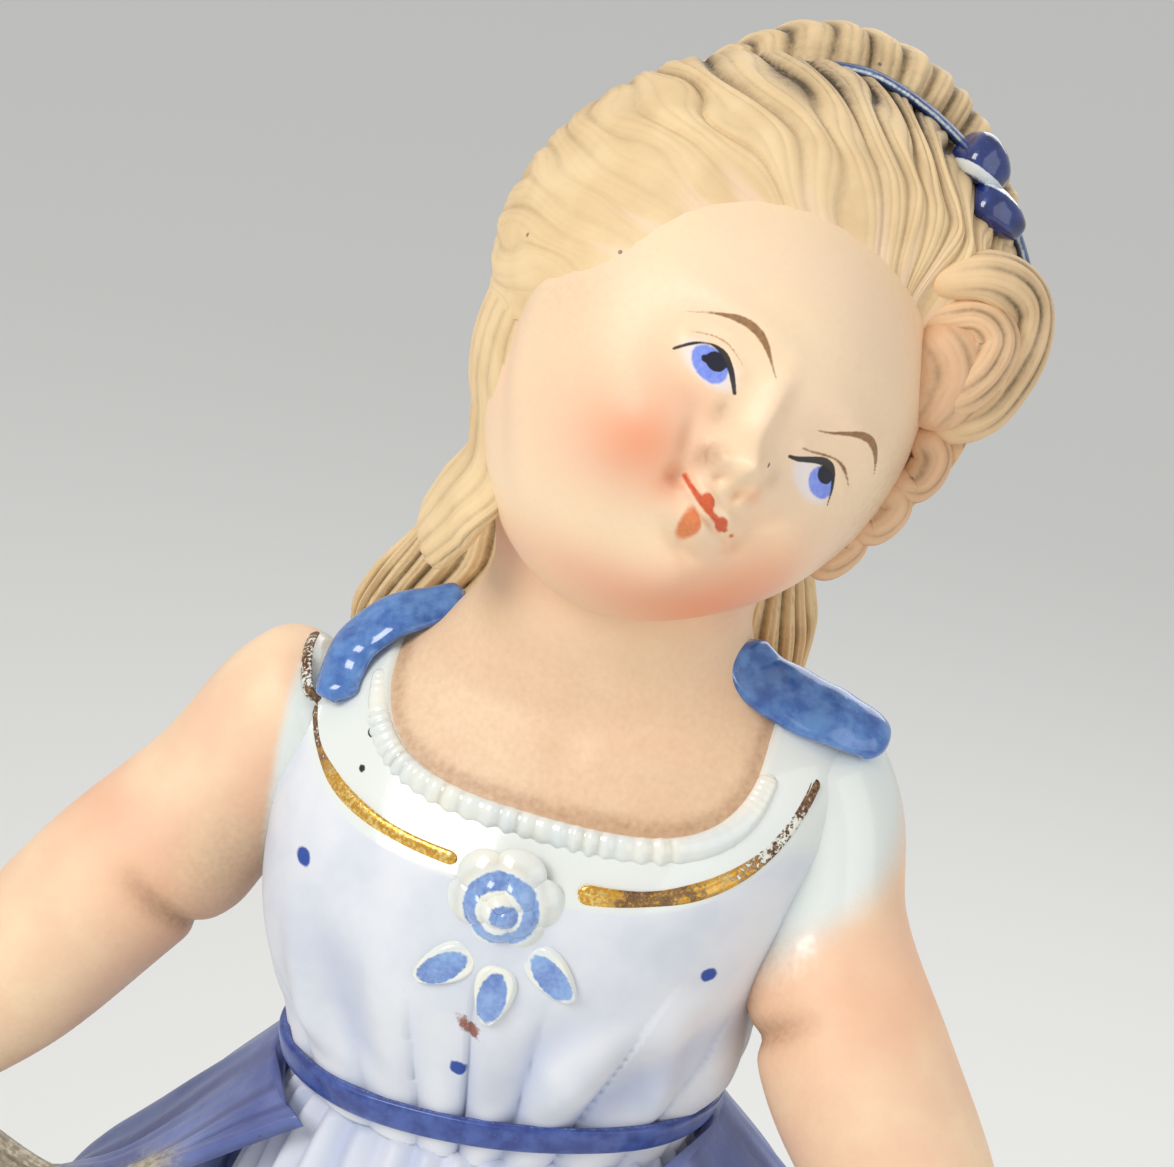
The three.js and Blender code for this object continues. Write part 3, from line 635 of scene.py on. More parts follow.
# %% Long back hair
BACK_ROWS = [
    # x, y, height, half width, half depth
    (10, 15, 276, 17, 9), (9, 15, 266, 18, 9), (7.5, 14, 257, 17.4, 8), (5.2, 13, 250, 17.8, 7.4), (3.4, 13, 243, 20.6, 6.8),
    (2, 14, 236.5, 23.2, 6.2), (0.8, 16, 229, 23.4, 5), (0, 18.6, 221, 18, 3.4), (0, 19.6, 213, 9, 1.8),
]
rows_at = through(BACK_ROWS, 150)
angle = np.linspace(0, 2 * np.pi, 421)[None, :]
t = np.linspace(0, 1, 150)[:, None]
close = np.sqrt(np.clip(1 - np.abs(2 * t - 1) ** 14, 0, 1))
centre, wide, deep = rows_at[:, None, :3], rows_at[:, 3:4], rows_at[:, 4:5]
back = centre + np.stack([wide * close * np.cos(angle), deep * close * np.sin(angle), 0 * angle + 0 * t], axis=-1)
back[..., 0] += 0.9 * np.sin(t * 13 + 1.5) * soft(t, 0.3, 0.6)
count = angle / (2 * np.pi) * 42 + 0.45 * np.sin(t * 16 + angle * 2)
count[:, -1] = count[:, 0] + 42
back, valley = combed(back, count, 1.3 * close, wrap=True)
# Dirt and painted shade in the valleys.
back_mesh = mesh_from(back, "back_hair", fields=dict(dirt_and_shade=valley * 0.7, rosy_shade=0 * valley))
back_hair = piece("back_hair", back_mesh, blond, "hair_bisque", "back_hair")

# %% [markdown]
# At her left temple the hair is rolled into a curl, with small ringlets below it; at her right a smooth lock hangs
# behind the ear. Each is a coil of clay with a few combed lines.

# %% Temple curls
def lock(path, radii, depth, name, dirt_and_shade=0.6, rosy_shade=0.0, strands=9):
    """A rolled curl, combed along its length and left smooth at both ends."""
    grid, t, a = tube(path, radii, 90, 96, up=(0.2, 1, 0))
    count = a / (2 * np.pi) * strands + 0.2 * np.sin(2 * a + 3 * t)
    count[:, -1] = count[:, 0] + strands
    smooth = soft(t, 0.05, 0.3) * soft(1 - t, 0.05, 0.3)
    grid, valley = combed(grid, count, depth * smooth, wrap=True)
    return mesh_from(grid, name, HEAD, fields=dict(dirt_and_shade=valley * dirt_and_shade * smooth, rosy_shade=rosy_shade + 0 * valley))


def merged(name, meshes):
    """One mesh from several coils laid together."""
    bm = bmesh.new()
    for mesh in meshes:
        bm.from_mesh(mesh)
    whole = bpy.data.meshes.new(name)
    bm.to_mesh(whole)
    bm.free()
    whole.shade_smooth()
    return whole


ring = [(8.6, -15.6, 17.5), (12.6, -17.4, 20.8), (17.2, -15.6, 21.2), (20.2, -13.6, 18.6), (21.2, -13.0, 14.4), (20.4, -13.4, 10.4), (17.4, -12.6, 7)]
inner = [(10.6, -13.8, 14.4), (14.0, -16.6, 17.4), (16.8, -17.0, 16.8), (17.6, -16.6, 14), (17.0, -15.6, 11.2), (15.6, -13.8, 9.6)]
heart = [(11.4, -13.4, 14.8), (14.8, -14.6, 13), (16.4, -13.6, 10.6), (17.6, -11.4, 7)]
ringlets = [
    [(17.0, -12.6, 6.4), (19.8, -12.6, 5.0), (20.4, -11.4, 2.2), (18.0, -11.2, 0.8)],
    [(17.6, -11.0, 0.4), (19.8, -10.8, -0.8), (19.6, -9.8, -3.4), (17.6, -9.6, -4.2)],
    [(17.4, -9.0, -4.6), (19.1, -8.2, -5.8), (18.5, -7.4, -8.4), (16.8, -7.4, -9)],
]
# The inner turns of the curl and the ringlets by the cheek get the most warm painted shade.
curl_meshes = [lock(ring, [1.6, 2.6, 3.2, 3.5, 3.3, 2.9, 2.0], 0.4, "curl", dirt_and_shade=0.8, rosy_shade=0.3)]
curl_meshes.append(lock(inner, [1.4, 2.0, 2.4, 2.6, 2.8, 2.4], 0.32, "curl", dirt_and_shade=0.55, rosy_shade=0.7, strands=8))
curl_meshes.append(lock(heart, [2.8, 4.0, 4.2, 3.0], 0.2, "curl", dirt_and_shade=0.4, rosy_shade=1.0))
curl_meshes += [lock(path, [1.4, 2.0, 2.0, 1.4], 0.16, "ringlet", dirt_and_shade=0.4, rosy_shade=1.0, strands=6) for path in ringlets]
left_curls = piece("temple_curl_left", merged("temple_curl_left", curl_meshes), blond, "hair_bisque", "temple_curl_left")
side = [(-18.6, 2, 4), (-18.9, 2.4, -1), (-18.2, 2.8, -6), (-16.2, 3.4, -10), (-13.2, 4.4, -13.5), (-10.6, 6.6, -17.5), (-10.2, 9.6, -22), (-10, 12.6, -27)]
side_grid, t, a = tube(side, [1.4, 2.0, 2.0, 2.0, 2.0, 2.2, 2.4, 2.0], 110, 120, 3.1, up=(0, 1, 0))
count = a / (2 * np.pi) * 12 + 0.3 * np.sin(t * 9 + a)
count[:, -1] = count[:, 0] + 12
side_grid, valley = combed(side_grid, count, 0.35 * np.sqrt(np.clip(1 - (2 * t - 1) ** 8, 0, 1)), wrap=True)
right_curl = mesh_from(side_grid, "temple_curl_right", HEAD, fields=dict(dirt_and_shade=valley * 0.25, rosy_shade=0 * valley))
right_curls = piece("temple_curl_right", right_curl, blond, "hair_bisque", "temple_curl_right")

# %% [markdown]
# The band is a flat ribbon pressed over the top of the head, tied in a small bow above her left ear. It was brushed
# with thin enamel, so the blue is streaky and thinner at the edges.

# %% Enamel finishes
def enamel(name, dark, light, gloss=0.25, coat=0.6, thin=(0.85, 0.88, 0.9), wear=0.35):
    """Brushed enamel: streaks of two strengths, worn thin in places, with white showing at thin edges and as painted
    highlights, both from one field.
    """
    finish = Finish(name, Coat_Weight=coat, Coat_Roughness=0.08, Specular_IOR_Level=0.5)
    streak = finish.noise(0.55, 5, 1)
    fine = finish.noise(3.0, 4, 4)
    colour = finish.over(finish.step(streak, 0.32, 0.68), shade(*dark), shade(*light))
    colour = finish.over(finish.step(fine, 0.62, 0.8) * wear, colour, shade(*thin))
    # White where the enamel is thin at its edges, and painted highlights: a patch between the bow's loops and a streak
    # by a ribbon's knot.
    colour = finish.over(finish.step(finish.field("thin_edge_and_highlight") + (fine - 0.5) * 0.5, 0.45, 0.8), colour, shade(*thin))
    colour = finish.over(finish.specks(4.0, 0.28, 2) * 0.6, colour, shade(0.2, 0.2, 0.25))
    return finish.done(colour, gloss + fine * 0.15, finish.noise(2.5, 2, 7), 0.02)


band_blue = enamel("band_blue", (0.16, 0.24, 0.42), (0.28, 0.38, 0.56), 0.35, 0.3)
cobalt = enamel("cobalt_bow", (0.02, 0.09, 0.32), (0.07, 0.2, 0.5), 0.12, 1.0, wear=0.12)
ribbon_blue = enamel("ribbon_blue", (0.17, 0.36, 0.66), (0.36, 0.55, 0.80), 0.12, 1.0, wear=0.15)
belt_blue = enamel("belt_blue", (0.12, 0.21, 0.50), (0.25, 0.35, 0.64), 0.3, 0.4, wear=0.12)

# %% Band and bow
clock = np.radians(np.linspace(-84, 78, 260))
line = on_band(clock, HAIR_SIZE, HAIR_CENTRE)
seat = 0.95 + 0.055 * soft(clock, -0.6, -0.2) - 0.08 * soft(clock, 0.9, 1.3) - 0.02 * soft(-clock, 1.2, 1.5)
line = line * seat[:, None]
up_out = line / np.linalg.norm(line, axis=1, keepdims=True)
along = np.gradient(line, axis=0)
along /= np.linalg.norm(along, axis=1, keepdims=True)
broad = np.cross(along, up_out)
a = np.linspace(0, 2 * np.pi, 25)[None, :, None]
half = np.interp(clock, np.radians([-90, -30, 10, 40, 80]), [0.9, 0.9, 1.5, 1.7, 1.1])[:, None, None]
band = line[:, None] + broad[:, None] * np.cos(a) * half + up_out[:, None] * (0.6 * np.sin(a) + 0.15)
thin_edge_and_highlight = np.abs(np.cos(a[..., 0])) ** 6 * 0.7 + 0 * half[..., 0]
band_mesh = mesh_from(band, "hair_band", HEAD, caps=True, fields=dict(thin_edge_and_highlight=thin_edge_and_highlight))
hair_band = piece("hair_band", band_mesh, band_blue, "band_blue", "hair_band")


def bow_loop(at, long, wide, thick, angle):
    """A flattened ribbon loop: a boxy pillow pinched towards its knot."""
    t = np.linspace(0, np.pi, 48)[:, None]
    f = np.linspace(0, 2 * np.pi, 73)[None, :]
    boxy = lambda v, k: np.sign(v) * np.abs(v) ** k
    x = long * boxy(np.cos(t), 0.75) + 0 * f
    pinch = (0.75 + 0.25 * soft(-np.cos(t), -0.9, 0.4)) * np.sin(t) ** 0.5
    u = wide * boxy(np.cos(f), 0.7) * pinch
    crease = 1 - 0.35 * np.exp(-((u / (0.3 * wide)) ** 2)) * soft(np.cos(t), -0.7, 0.6)
    v = thick * boxy(np.sin(f), 0.7) * pinch * crease
    c, s = math.cos(math.radians(angle)), math.sin(math.radians(angle))
    return np.stack([at[0] + x * c + v * s * 0.6, at[1] - u, at[2] - x * s + v * c], axis=-1)


loops = [bow_loop((8.3, -12.6, 30.4), 2.7, 3.2, 2.5, 14), bow_loop((11.6, -13.6, 27.0), 3.1, 3.2, 2.2, 4)]
# The loops' field is a white painted highlight where the two loops meet.
bow_meshes = [mesh_from(loop, "loop", HEAD, fields=dict(thin_edge_and_highlight=soft(loop[..., 2], 28.0, 28.8) * (1 - soft(loop[..., 2], 29.2, 29.6)))) for loop in loops]
bow = piece("hair_bow", merged("hair_bow", bow_meshes), cobalt, "bow_cobalt", "hair_bow")

# %% [markdown]
# The trunk is a coil of oval rings from the belt to the neck. The bust, in skin, and the dress share it: the dress
# stands half a millimetre proud below the neckline and sinks under the skin above it, so the edge between them is a
# clean moulded line.

# %% Trunk
TRUNK = [
    # height, half width, half depth, x, y
    (-3, 20.8, 14.8, -0.3, 0), (0, 21.6, 15.4, -0.3, 0), (3, 22.4, 15.9, -0.3, 0), (10, 24.6, 17.6, -0.5, -0.3), (18, 26.2, 18.8, -0.9, -0.5),
    (28, 27.6, 18.4, -0.2, 0.2), (34, 28.6, 16.6, 1, 1.4), (40, 28.2, 13.8, 1.8, 2.8), (44, 25.3, 12.0, 2.1, 3.4), (47.5, 19.8, 11.2, 2, 3.2),
    (51, 15.4, 10.9, 2.1, 2.6), (56, 13.4, 11.4, 2.9, 1.4), (61, 14, 13, 3.4, 0), (66, 16, 15, 4.2, -1), (72, 17, 16, 5.2, -1), (77, 15, 13, 6.2, 1),
]
TRUNK_Z = np.array([row[0] for row in TRUNK], float)


def trunk_section(z):
    """Half width, half depth, x and y of the trunk at heights z."""
    fine = through(TRUNK, 500)
    return [np.interp(z, fine[:, 0], fine[:, k]) for k in (1, 2, 3, 4)]


def slope(x, z):
    """The shoulders aren't level: her left is higher."""
    return 0.09 * soft(z, 14, 36) * (1 - soft(z, 46, 60)) * x


def trunk_grid(low, high, rows, columns, grow=0.0):
    """The trunk's surface; the last result is the angle from her front, positive towards her left."""
    z = np.linspace(low, high, rows)[:, None]
    angle = np.linspace(-np.pi, np.pi, columns + 1)[None, :]
    a, b, x, y = trunk_section(z)
    px = x + (a + grow) * np.sin(angle)
    py = y - (b + grow) * np.cos(angle)
    return np.stack([px, py, z + slope(px, z)], axis=-1), angle


def scoop(centre, wide, low, high, square, first, last, count=17):
    """(x, z) points of a neckline's curve between two angles from its middle, positive towards her left."""
    q, power = np.radians(np.linspace(first, last, count)), 2 / square
    x = centre + wide * np.sign(np.sin(q)) * np.abs(np.sin(q)) ** power
    z = high - (high - low) * np.clip(np.cos(q), 0, 1) ** power
    return list(zip(x, z))


NECK_EDGE = scoop(1.6, 19.5, 36.4, 50, 4, -90, 90)
GOLD_LINE = {
    "right": scoop(0.5, 26.2, 30.8, 47, 4, -3, -70),
    "left": scoop(0.5, 26.2, 30.8, 53, 3.4, 5, 76),
}


def within(points, guides):
    """How far points of the trunk's front lie inside (above) a line of (x, z) guides; negative is outside."""
    line, flat = through(guides, 90), points[..., [0, 2]]
    best = np.full(flat.shape[:-1], 99.0)
    for a, b in zip(line, line[1:]):
        t = np.clip(((flat - a) @ (b - a)) / ((b - a) @ (b - a) + 1e-9), 0, 1)
        best = np.minimum(best, np.linalg.norm(flat - a - t[..., None] * (b - a), axis=-1))
    x, z = flat[..., 0], flat[..., 1]
    inside = (x > line[0, 0]) & (x < line[-1, 0]) & (z > np.interp(x, line[:, 0], line[:, 1]))
    return np.where(inside, best, -best)


def on_trunk(x, z, lift=0.0):
    """The point of the trunk's front at (x, z), lifted off it."""
    a, b, cx, cy = trunk_section(z - slope(x, z))
    y = cy - (b + lift) * np.sqrt(np.clip(1 - ((x - cx) / (a + lift)) ** 2, 0, 1))
    return np.stack(np.broadcast_arrays(x, y, z), axis=-1)


def above_neckline(points):
    """How far a point of the trunk lies inside the neckline, which is higher at her back."""
    return np.where(points[..., 1] < 3, within(points, NECK_EDGE), points[..., 2] - 44)


# %% Bust
bust, angle = trunk_grid(20, 77, 190, 260)
bx, bz = bust[..., 0], bust[..., 2]
front_side = bust[..., 1] < 2
relief = 0.4 * np.exp(-(((bx - 10) / 8) ** 2) - ((bz - 43) / 2.2) ** 2) + 0.4 * np.exp(-(((bx + 7) / 8) ** 2) - ((bz - 41.5) / 2.2) ** 2)
relief -= 0.35 * np.exp(-(((bx - 2) / 2.4) ** 2) - ((bz - 42.5) / 2.5) ** 2)
bust = bust + outward(bust) * (relief * front_side)[..., None]
rim = above_neckline(bust)
bust_fields = dict(
    blush=0.1 + 0.3 * np.exp(-(((bz - 62) / 6) ** 2)) + 0 * rim,
    # Grime and painted shade: a band just inside the neckline, darker lower on the chest, and painted shadow round the
    # neck under the chin.
    grime_and_shade=0.5 * np.exp(-(((rim - 0.6) / 0.9) ** 2)) * front_side + 0.3 * (1 - soft(bz, 46, 58)) * front_side + 0.2 * np.exp(-(((bz - 62) / 4) ** 2)),
)
bust_mesh = mesh_from(bust, "chest_and_neck", TORSO, caps=True, fields=bust_fields)
chest_skin = skin_finish("chest_bisque", shade(0.95, 0.83, 0.69))
chest = piece("chest_and_neck", bust_mesh, chest_skin, "skin_bisque", "chest_and_neck")

# %% [markdown]
# The dress is left matt, a cool white, and gathered into the belt. Between the ruffle and the gold line a band of
# clear glaze was brushed on, which is glossy and a little greener. Small blue dots are scattered over it. Lilac
# shade is painted into its gathers and folds and down her left side.

# %% Dress finish
def dress_finish(name, dots):
    finish = Finish(name, Specular_IOR_Level=0.45, Coat_Roughness=0.06)
    cloud, fine = finish.noise(0.09, 4, 2), finish.noise(1.3, 4, 5)
    colour = finish.over(finish.step(cloud, 0.35, 0.7), shade(0.885, 0.895, 0.915), shade(0.80, 0.825, 0.87))
    # Painted lilac shade in gathers and the hollows of folds, and on shaded parts.
    colour = finish.over(finish.field("fold") * 0.65, colour, shade(0.62, 0.68, 0.84))
    glaze = finish.field("glaze")
    colour = finish.over(glaze * 0.8, colour, shade(0.905, 0.925, 0.895))
    if dots:
        spot = finish.step(finish.field("dots") + (fine - 0.5) * 0.4, 0.15, -0.15)
        colour = finish.over(spot, colour, shade(0.17, 0.30, 0.62))
        rust = finish.step(finish.field("rust") + (fine - 0.5) * 1.6, 0.1, -0.3)
        colour = finish.over(rust * 0.9, colour, shade(0.55, 0.27, 0.16))
        kiln = finish.step(finish.field("kiln"), 0.08, -0.05)
        colour = finish.over(kiln, colour, shade(0.05, 0.04, 0.05))
    colour = finish.over(finish.specks(4.5, 0.26, 3) * 0.4, colour, shade(0.45, 0.45, 0.50))
    return finish.done(colour, 0.5 + fine * 0.15 - glaze * 0.42, finish.noise(4, 2), 0.012, Coat_Weight=glaze)


# %% Bodice
bodice, angle = trunk_grid(-2.5, 50, 230, 420, 0.0)
gap = above_neckline(bodice)
bx, by, bz = (bodice[..., k] for k in range(3))
front_side = by < 2
proud = 0.55 * soft(-gap, -0.5, 0.6) - 0.7 * soft(gap, -0.4, 0.5)
pleat = angle / (1 + 0.016 * bz) * 11 + 0.9 * np.sin(angle * 4)
nth = np.floor(pleat / np.pi)
rank = 0.5 + 0.5 * np.sin(nth * 7.3 + 1)
gather = (1 - np.abs(np.sin(pleat)) ** 0.6) * (0.35 + 0.65 * rank)
held = 1 - soft(bz, 5, 14 + 11 * rank)
tucks = 1.5 * gather * held
folds = 0.75 * np.sin(bx * 0.42 - bz * 0.30 * np.sign(bx + 2) + 0.6 * np.sin(bz * 0.2)) * soft(bz, 3, 8) * (1 - soft(bz, 12, 24)) * soft(np.abs(bx + 2), 5, 11) * front_side
waves = 0.5 * np.sin(angle * 15 + bz * 0.1 + np.sin(angle * 7)) * (1 - soft(bz, 6, 26))
bodice = bodice + outward(bodice) * (proud - tucks + folds + waves * soft(bz, 3, 9) * (1 - soft(bz, 14, 26)))[..., None]


def dot_field(points, spots):
    """Distance outside the nearest of some round dots (x, z, radius) on the front."""
    gaps = [np.hypot(points[..., 0] - x, points[..., 2] - z) - r for x, z, r in spots]
    return np.where(points[..., 1] < 4, first_of(*gaps), 99.0)


dots = dot_field(bodice, [(-21.7, 25.0, 0.9), (20.7, 23.6, 0.75), (-1.4, 9.4, 0.9)])
gold_gap = within(bodice, GOLD_LINE["right"][::-1] + GOLD_LINE["left"])
glaze = soft(gold_gap, -1.6, -1.0) * (by < 6)
glaze = np.maximum(glaze, soft(np.abs(bx), 22, 25) * soft(bz, 34, 38))
# The fold field is painted shade: in the tucks of the gathers, in the hollows of the folds, and on her left side below
# the arm.
bodice_fields = dict(
    glaze=glaze, fold=np.clip(gather * held * 1.0 - 0.7 * folds + 0.5 * soft(by, -6, 2) * soft(bx, 10, 24) * (bz < 32), 0, 1), dots=dots,
    rust=oval(np.where(front_side[..., None], bodice, 99), -0.9, 14.9, 1.7, 0.75, -38),
    kiln=dot_field(bodice, [(-17.9, 38.1, 0.42), (-17.8, 35.0, 0.34)]),
)
bodice_mesh = mesh_from(bodice, "bodice", TORSO, caps=True, fields=bodice_fields)
dress_white = dress_finish("dress_bisque", True)
dress = piece("bodice", bodice_mesh, dress_white, "dress_bisque", "bodice")

# %% [markdown]
# The ruffle was pressed in a fluted strip and laid round the neckline; the gold line is a fine ridge of slip with
# liquid gold fired over it, rubbed through to brown where hands have held the figure.

# %% Clear glaze finish
def glazed(name, base, tint):
    finish = Finish(name, Coat_Weight=1.0, Coat_Roughness=0.05, Specular_IOR_Level=0.5)
    cloud, fine = finish.noise(0.2, 4, 2), finish.noise(2.0, 4, 5)
    colour = finish.over(finish.step(cloud, 0.35, 0.7), shade(*base), shade(*tint))
    # Painted shade, brownish, in hollows: the ruffle's pleats, round the rose, and the base's groove and foot.
    colour = finish.over(finish.field("fold") * (0.3 + fine * 0.9), colour, shade(0.60, 0.52, 0.36))
    colour = finish.over(finish.step(finish.field("blue") + (fine - 0.5) * 0.5, 0.12, -0.12) * 0.92, colour,
                         finish.over(finish.step(cloud + fine * 0.4, 0.5, 0.85), shade(0.25, 0.42, 0.74), shade(0.50, 0.66, 0.88)))
    return finish.done(colour, 0.16 + fine * 0.12, finish.noise(2.2, 2), 0.02)


trim_glaze = glazed("trim_glaze", (0.93, 0.93, 0.88), (0.87, 0.90, 0.90))

# %% Ruffle
RUFFLE_LINE = scoop(1.5, 20.6, 35.3, 49.5, 4, -78, 80, 41)


def draped(line, lift, count=60):
    """A line of (x, z) guides laid on the trunk's front."""
    fine = through(line, count)
    return on_trunk(fine[:, 0], fine[:, 1], lift)


ruffle, t, a = tube(draped(RUFFLE_LINE, 0.35), [0.9, 1.4, 1.6, 1.5, 1.4, 1.0], 560, 30, 0.6, up=(0, -1, 0))
arc = np.linspace(0, 1, 560)[:, None]
pleats = np.sin(arc * 2 * np.pi * 46 + 2.2 * np.sin(arc * 23)) * (0.7 + 0.3 * np.sin(arc * 2 * np.pi * 11))
kept = (0.1 + 0.9 * soft(arc, 0.16, 0.3)) * (1 - 0.92 * soft(arc, 0.62, 0.72))
flutes = 0.24 * pleats * soft(np.sin(a), -0.6, 0.6) * kept * (0.75 + 0.25 * np.sin(arc * 61))
ruffle = ruffle + outward(ruffle) * flutes[..., None]
# fold: painted shade in the valleys of the pleats.
ruffle_fields = dict(fold=np.clip(-pleats, 0, 1) ** 2 * 0.5 * soft(np.sin(a), -0.4, 0.5) * kept, blue=9.0 + 0 * flutes)
ruffle_mesh = mesh_from(ruffle, "neckline_ruffle", TORSO, fields=ruffle_fields)
ruffle_piece = piece("neckline_ruffle", ruffle_mesh, trim_glaze, "clear_glaze", "neckline_ruffle")

# %% Gold line
finish = Finish("worn_gold", Coat_Roughness=0.1, Specular_IOR_Level=0.5)
fine, patch = finish.noise(3.2, 5, 3), finish.noise(0.9, 3, 9)
kept = finish.step(fine * 0.6 + patch * 0.3 + finish.field("wear"), 0.86, 0.74)
brown = finish.over(finish.step(fine, 0.35, 0.65), shade(0.28, 0.17, 0.10), shade(0.56, 0.42, 0.27))
lost = finish.step(finish.field("bare") + (fine - 0.5) * 1.4 + (patch - 0.5) * 0.8, 0.5, 0.62)
colour = finish.over(lost, brown, shade(0.87, 0.875, 0.84))
yellow = finish.over(finish.step(fine, 0.4, 0.7), shade(0.84, 0.62, 0.22), shade(1.0, 0.90, 0.58))
colour = finish.over(kept, colour, yellow)
gold = finish.done(colour, 0.45 - kept * 0.22, fine, 0.05, Metallic=kept * 0.6)
OVER_SHOULDER = np.radians(np.linspace(20, 90, 5))
SHOULDER_END = np.stack([-24.9 - 3 * np.sin(OVER_SHOULDER), -3.7 + 8 * (1 - np.cos(OVER_SHOULDER)), 37 + 5 * np.sin(OVER_SHOULDER)], axis=-1)
CORD_WEAR = {
    # wear and bareness at points from the rose to the shoulder
    "right": ([0.08, 0.12, 0.15, 0.3, 0.6, 0.7, 0.7], [0.1, 0.3, 0.2, 0.25, 0.42, 0.5, 0.45]),
    "left": ([0.1, 0.42, 0.4, 0.3, 0.42, 0.7, 0.8], [0.0, 0.2, 0.2, 0.35, 0.55, 0.6, 0.15]),
}
for name, (wears, bares) in CORD_WEAR.items():
    sizes = [1.0, 0.95, 1.0, 0.85, 0.55, 0.55, 0.6] if name == "right" else [1.3, 0.9, 0.95, 0.9, 0.8, 0.75, 0.8]
    way = draped(GOLD_LINE[name], 0.45)
    if name == "right":
        way = np.concatenate([way, SHOULDER_END])
    cord, t, a = tube(way, sizes, 300, 24, 0.42, up=(0, -1, 0))
    cord = cord - outward(cord) * (0.16 * np.exp(-((a - np.pi / 2) ** 2) / 0.05) * (name == "left"))[..., None]
    at = np.linspace(0, 1, len(wears))
    cord_fields = dict(wear=np.interp(t, at, wears) + 0 * a, bare=np.interp(t, at, bares) + 0 * a)
    cord_mesh = mesh_from(cord, "gold_cord_" + name, TORSO, fields=cord_fields)
    piece("gold_cord_" + name, cord_mesh, gold, "worn_gold", "gold_cord_" + name)

# %% [markdown]
# The rose is built petal by petal: cupped ovals of clay laid in two rings round a small bud, then glazed and touched
# with blue. The three leaves below it have a raised white rim and a blue middle.

# %% Rose
def petal(centre, reach, wide, tilt, turn, cup):
    """A cupped petal that leans out from the middle; turn is its direction in degrees."""
    u = np.linspace(0, np.pi, 30)[:, None]
    v = np.linspace(0, 2 * np.pi, 41)[None, :]
    x, z = wide * np.sin(u) * np.cos(v), reach * np.sin(u) * np.sin(v)
    thick = 0.55 * np.cos(u) + 0 * v
    bowl = cup * ((x / wide) ** 2 + (z / reach) ** 2)
    y = -thick - bowl - tilt * z
    a = math.radians(turn)
    px, pz = x * math.cos(a) + z * math.sin(a), z * math.cos(a) - x * math.sin(a)
    return np.stack([centre[0] + px, centre[1] + y, centre[2] + pz], axis=-1)


ROSE = on_trunk(0.0, 28.4, 0.0)
rose_parts = []
for ring_radius, count, size, height, cup, offset in ((3.9, 6, 2.7, 0.9, 0.7, 15), (2.3, 5, 2.1, 2.0, 0.8, 40), (0.9, 3, 1.4, 2.8, 0.6, 0)):
    for k in range(count):
        turn = offset + 360 * k / count
        at = ROSE + np.array([ring_radius * math.sin(math.radians(turn)), -height, ring_radius * math.cos(math.radians(turn))])
        rose_parts.append(petal(at, size * 0.8, size, -0.25, turn, -cup))
rose_meshes = []
for part in rose_parts:
    r = np.hypot(part[..., 0] - ROSE[0], part[..., 2] - ROSE[2])
    blue = np.minimum(np.abs(r - 3.1) - 0.75, np.hypot(part[..., 0] - ROSE[0] - 0.6, part[..., 2] - ROSE[2] + 0.2) - 1.35)
    # fold: a ring of painted shade round the outer petals.
    rose_meshes.append(mesh_from(part, "petal", TORSO, fields=dict(fold=0.25 * np.exp(-((r - 4.6) ** 2) / 0.2), blue=blue)))
rose = piece("rose", merged("rose", rose_meshes), trim_glaze, "clear_glaze", "rose")

# %% Rose leaves
def leaf_mesh(name, x, z, turn, long=3.3, wide=2.0):
    t = np.linspace(0, np.pi, 60)[:, None]
    f = np.linspace(0, 2 * np.pi, 61)[None, :]
    v = np.cos(t) * long + 0 * f
    half = wide * np.sin(t) ** 0.8 * (1 - 0.35 * np.cos(t + np.pi))
    u = half * np.cos(f)
    rim = np.exp(-((np.abs(np.cos(f)) - 0.8) ** 2) / 0.03) * np.sin(t)
    y = -0.75 * np.sin(f) * np.sin(t) ** 0.5 - 0.35 * rim
    a = math.radians(turn)
    at = on_trunk(x, z, 0.35)
    grid = np.stack([at[0] + u * math.cos(a) + v * math.sin(a), at[1] + y, at[2] + v * math.cos(a) - u * math.sin(a)], axis=-1)
    blue = (np.hypot(u / (0.72 * wide), v / (0.85 * long)) - 1) * wide
    return mesh_from(grid, name, TORSO, fields=dict(fold=0 * u, blue=blue))


for name, x, z, turn in (("right", -4.6, 20.8, 52), ("middle", 0.9, 19.0, 4), ("left", 6.2, 22.4, -50)):
    piece("rose_leaf_" + name, leaf_mesh("rose_leaf_" + name, x, z, turn), trim_glaze, "leaf_blue", "rose_leaf_" + name)

# %% Shoulder ribbons
RIBBONS = {
    "right": ([(-13.2, 4.2, 50.2), (-16.2, 2, 48.9), (-19.8, 0.4, 47.0), (-22.2, -1.0, 44.4), (-23.0, -2.9, 41.6), (-22.7, -5.2, 39.2)],
              [1.6, 2.4, 2.8, 2.9, 2.7, 2.4], (-0.35, -0.55, 0.75)),
    "left": ([(15.6, 0.6, 53.6), (18.6, -0.8, 51.2), (22.6, -1.0, 49.8), (26.8, -0.6, 48.8), (30.0, 0, 47.8), (31.8, 0.6, 46.2)],
             [2.6, 3.2, 3.5, 3.3, 3.0, 2.4], (0.12, -0.55, 0.83)),
}
for name, (path, radii, facing) in RIBBONS.items():
    grid, t, a = tube(path, radii, 130, 64, 0.42, up=facing, cap=0.5)
    crease = 0.16 * np.sin(a * 2 + t * 5) + 0.16 * np.sin(t * 21 + 0.6 * np.sin(t * 9)) * np.sin(a)
    grid = grid + outward(grid) * crease[..., None]
    # A white painted highlight near the knot of the ribbon on her left shoulder; the white of the long edges is thin
    # enamel.
    knot_highlight = 0.42 * np.exp(-(((t - 0.12) / 0.07) ** 2)) + 0 * a
    ribbon_mesh = mesh_from(grid, "shoulder_ribbon_" + name, TORSO, fields=dict(thin_edge_and_highlight=0.35 * np.abs(np.cos(a)) ** 12 + knot_highlight * (name == "left")))
    piece("shoulder_ribbon_" + name, ribbon_mesh, ribbon_blue, "ribbon_blue", "shoulder_ribbon_" + name)

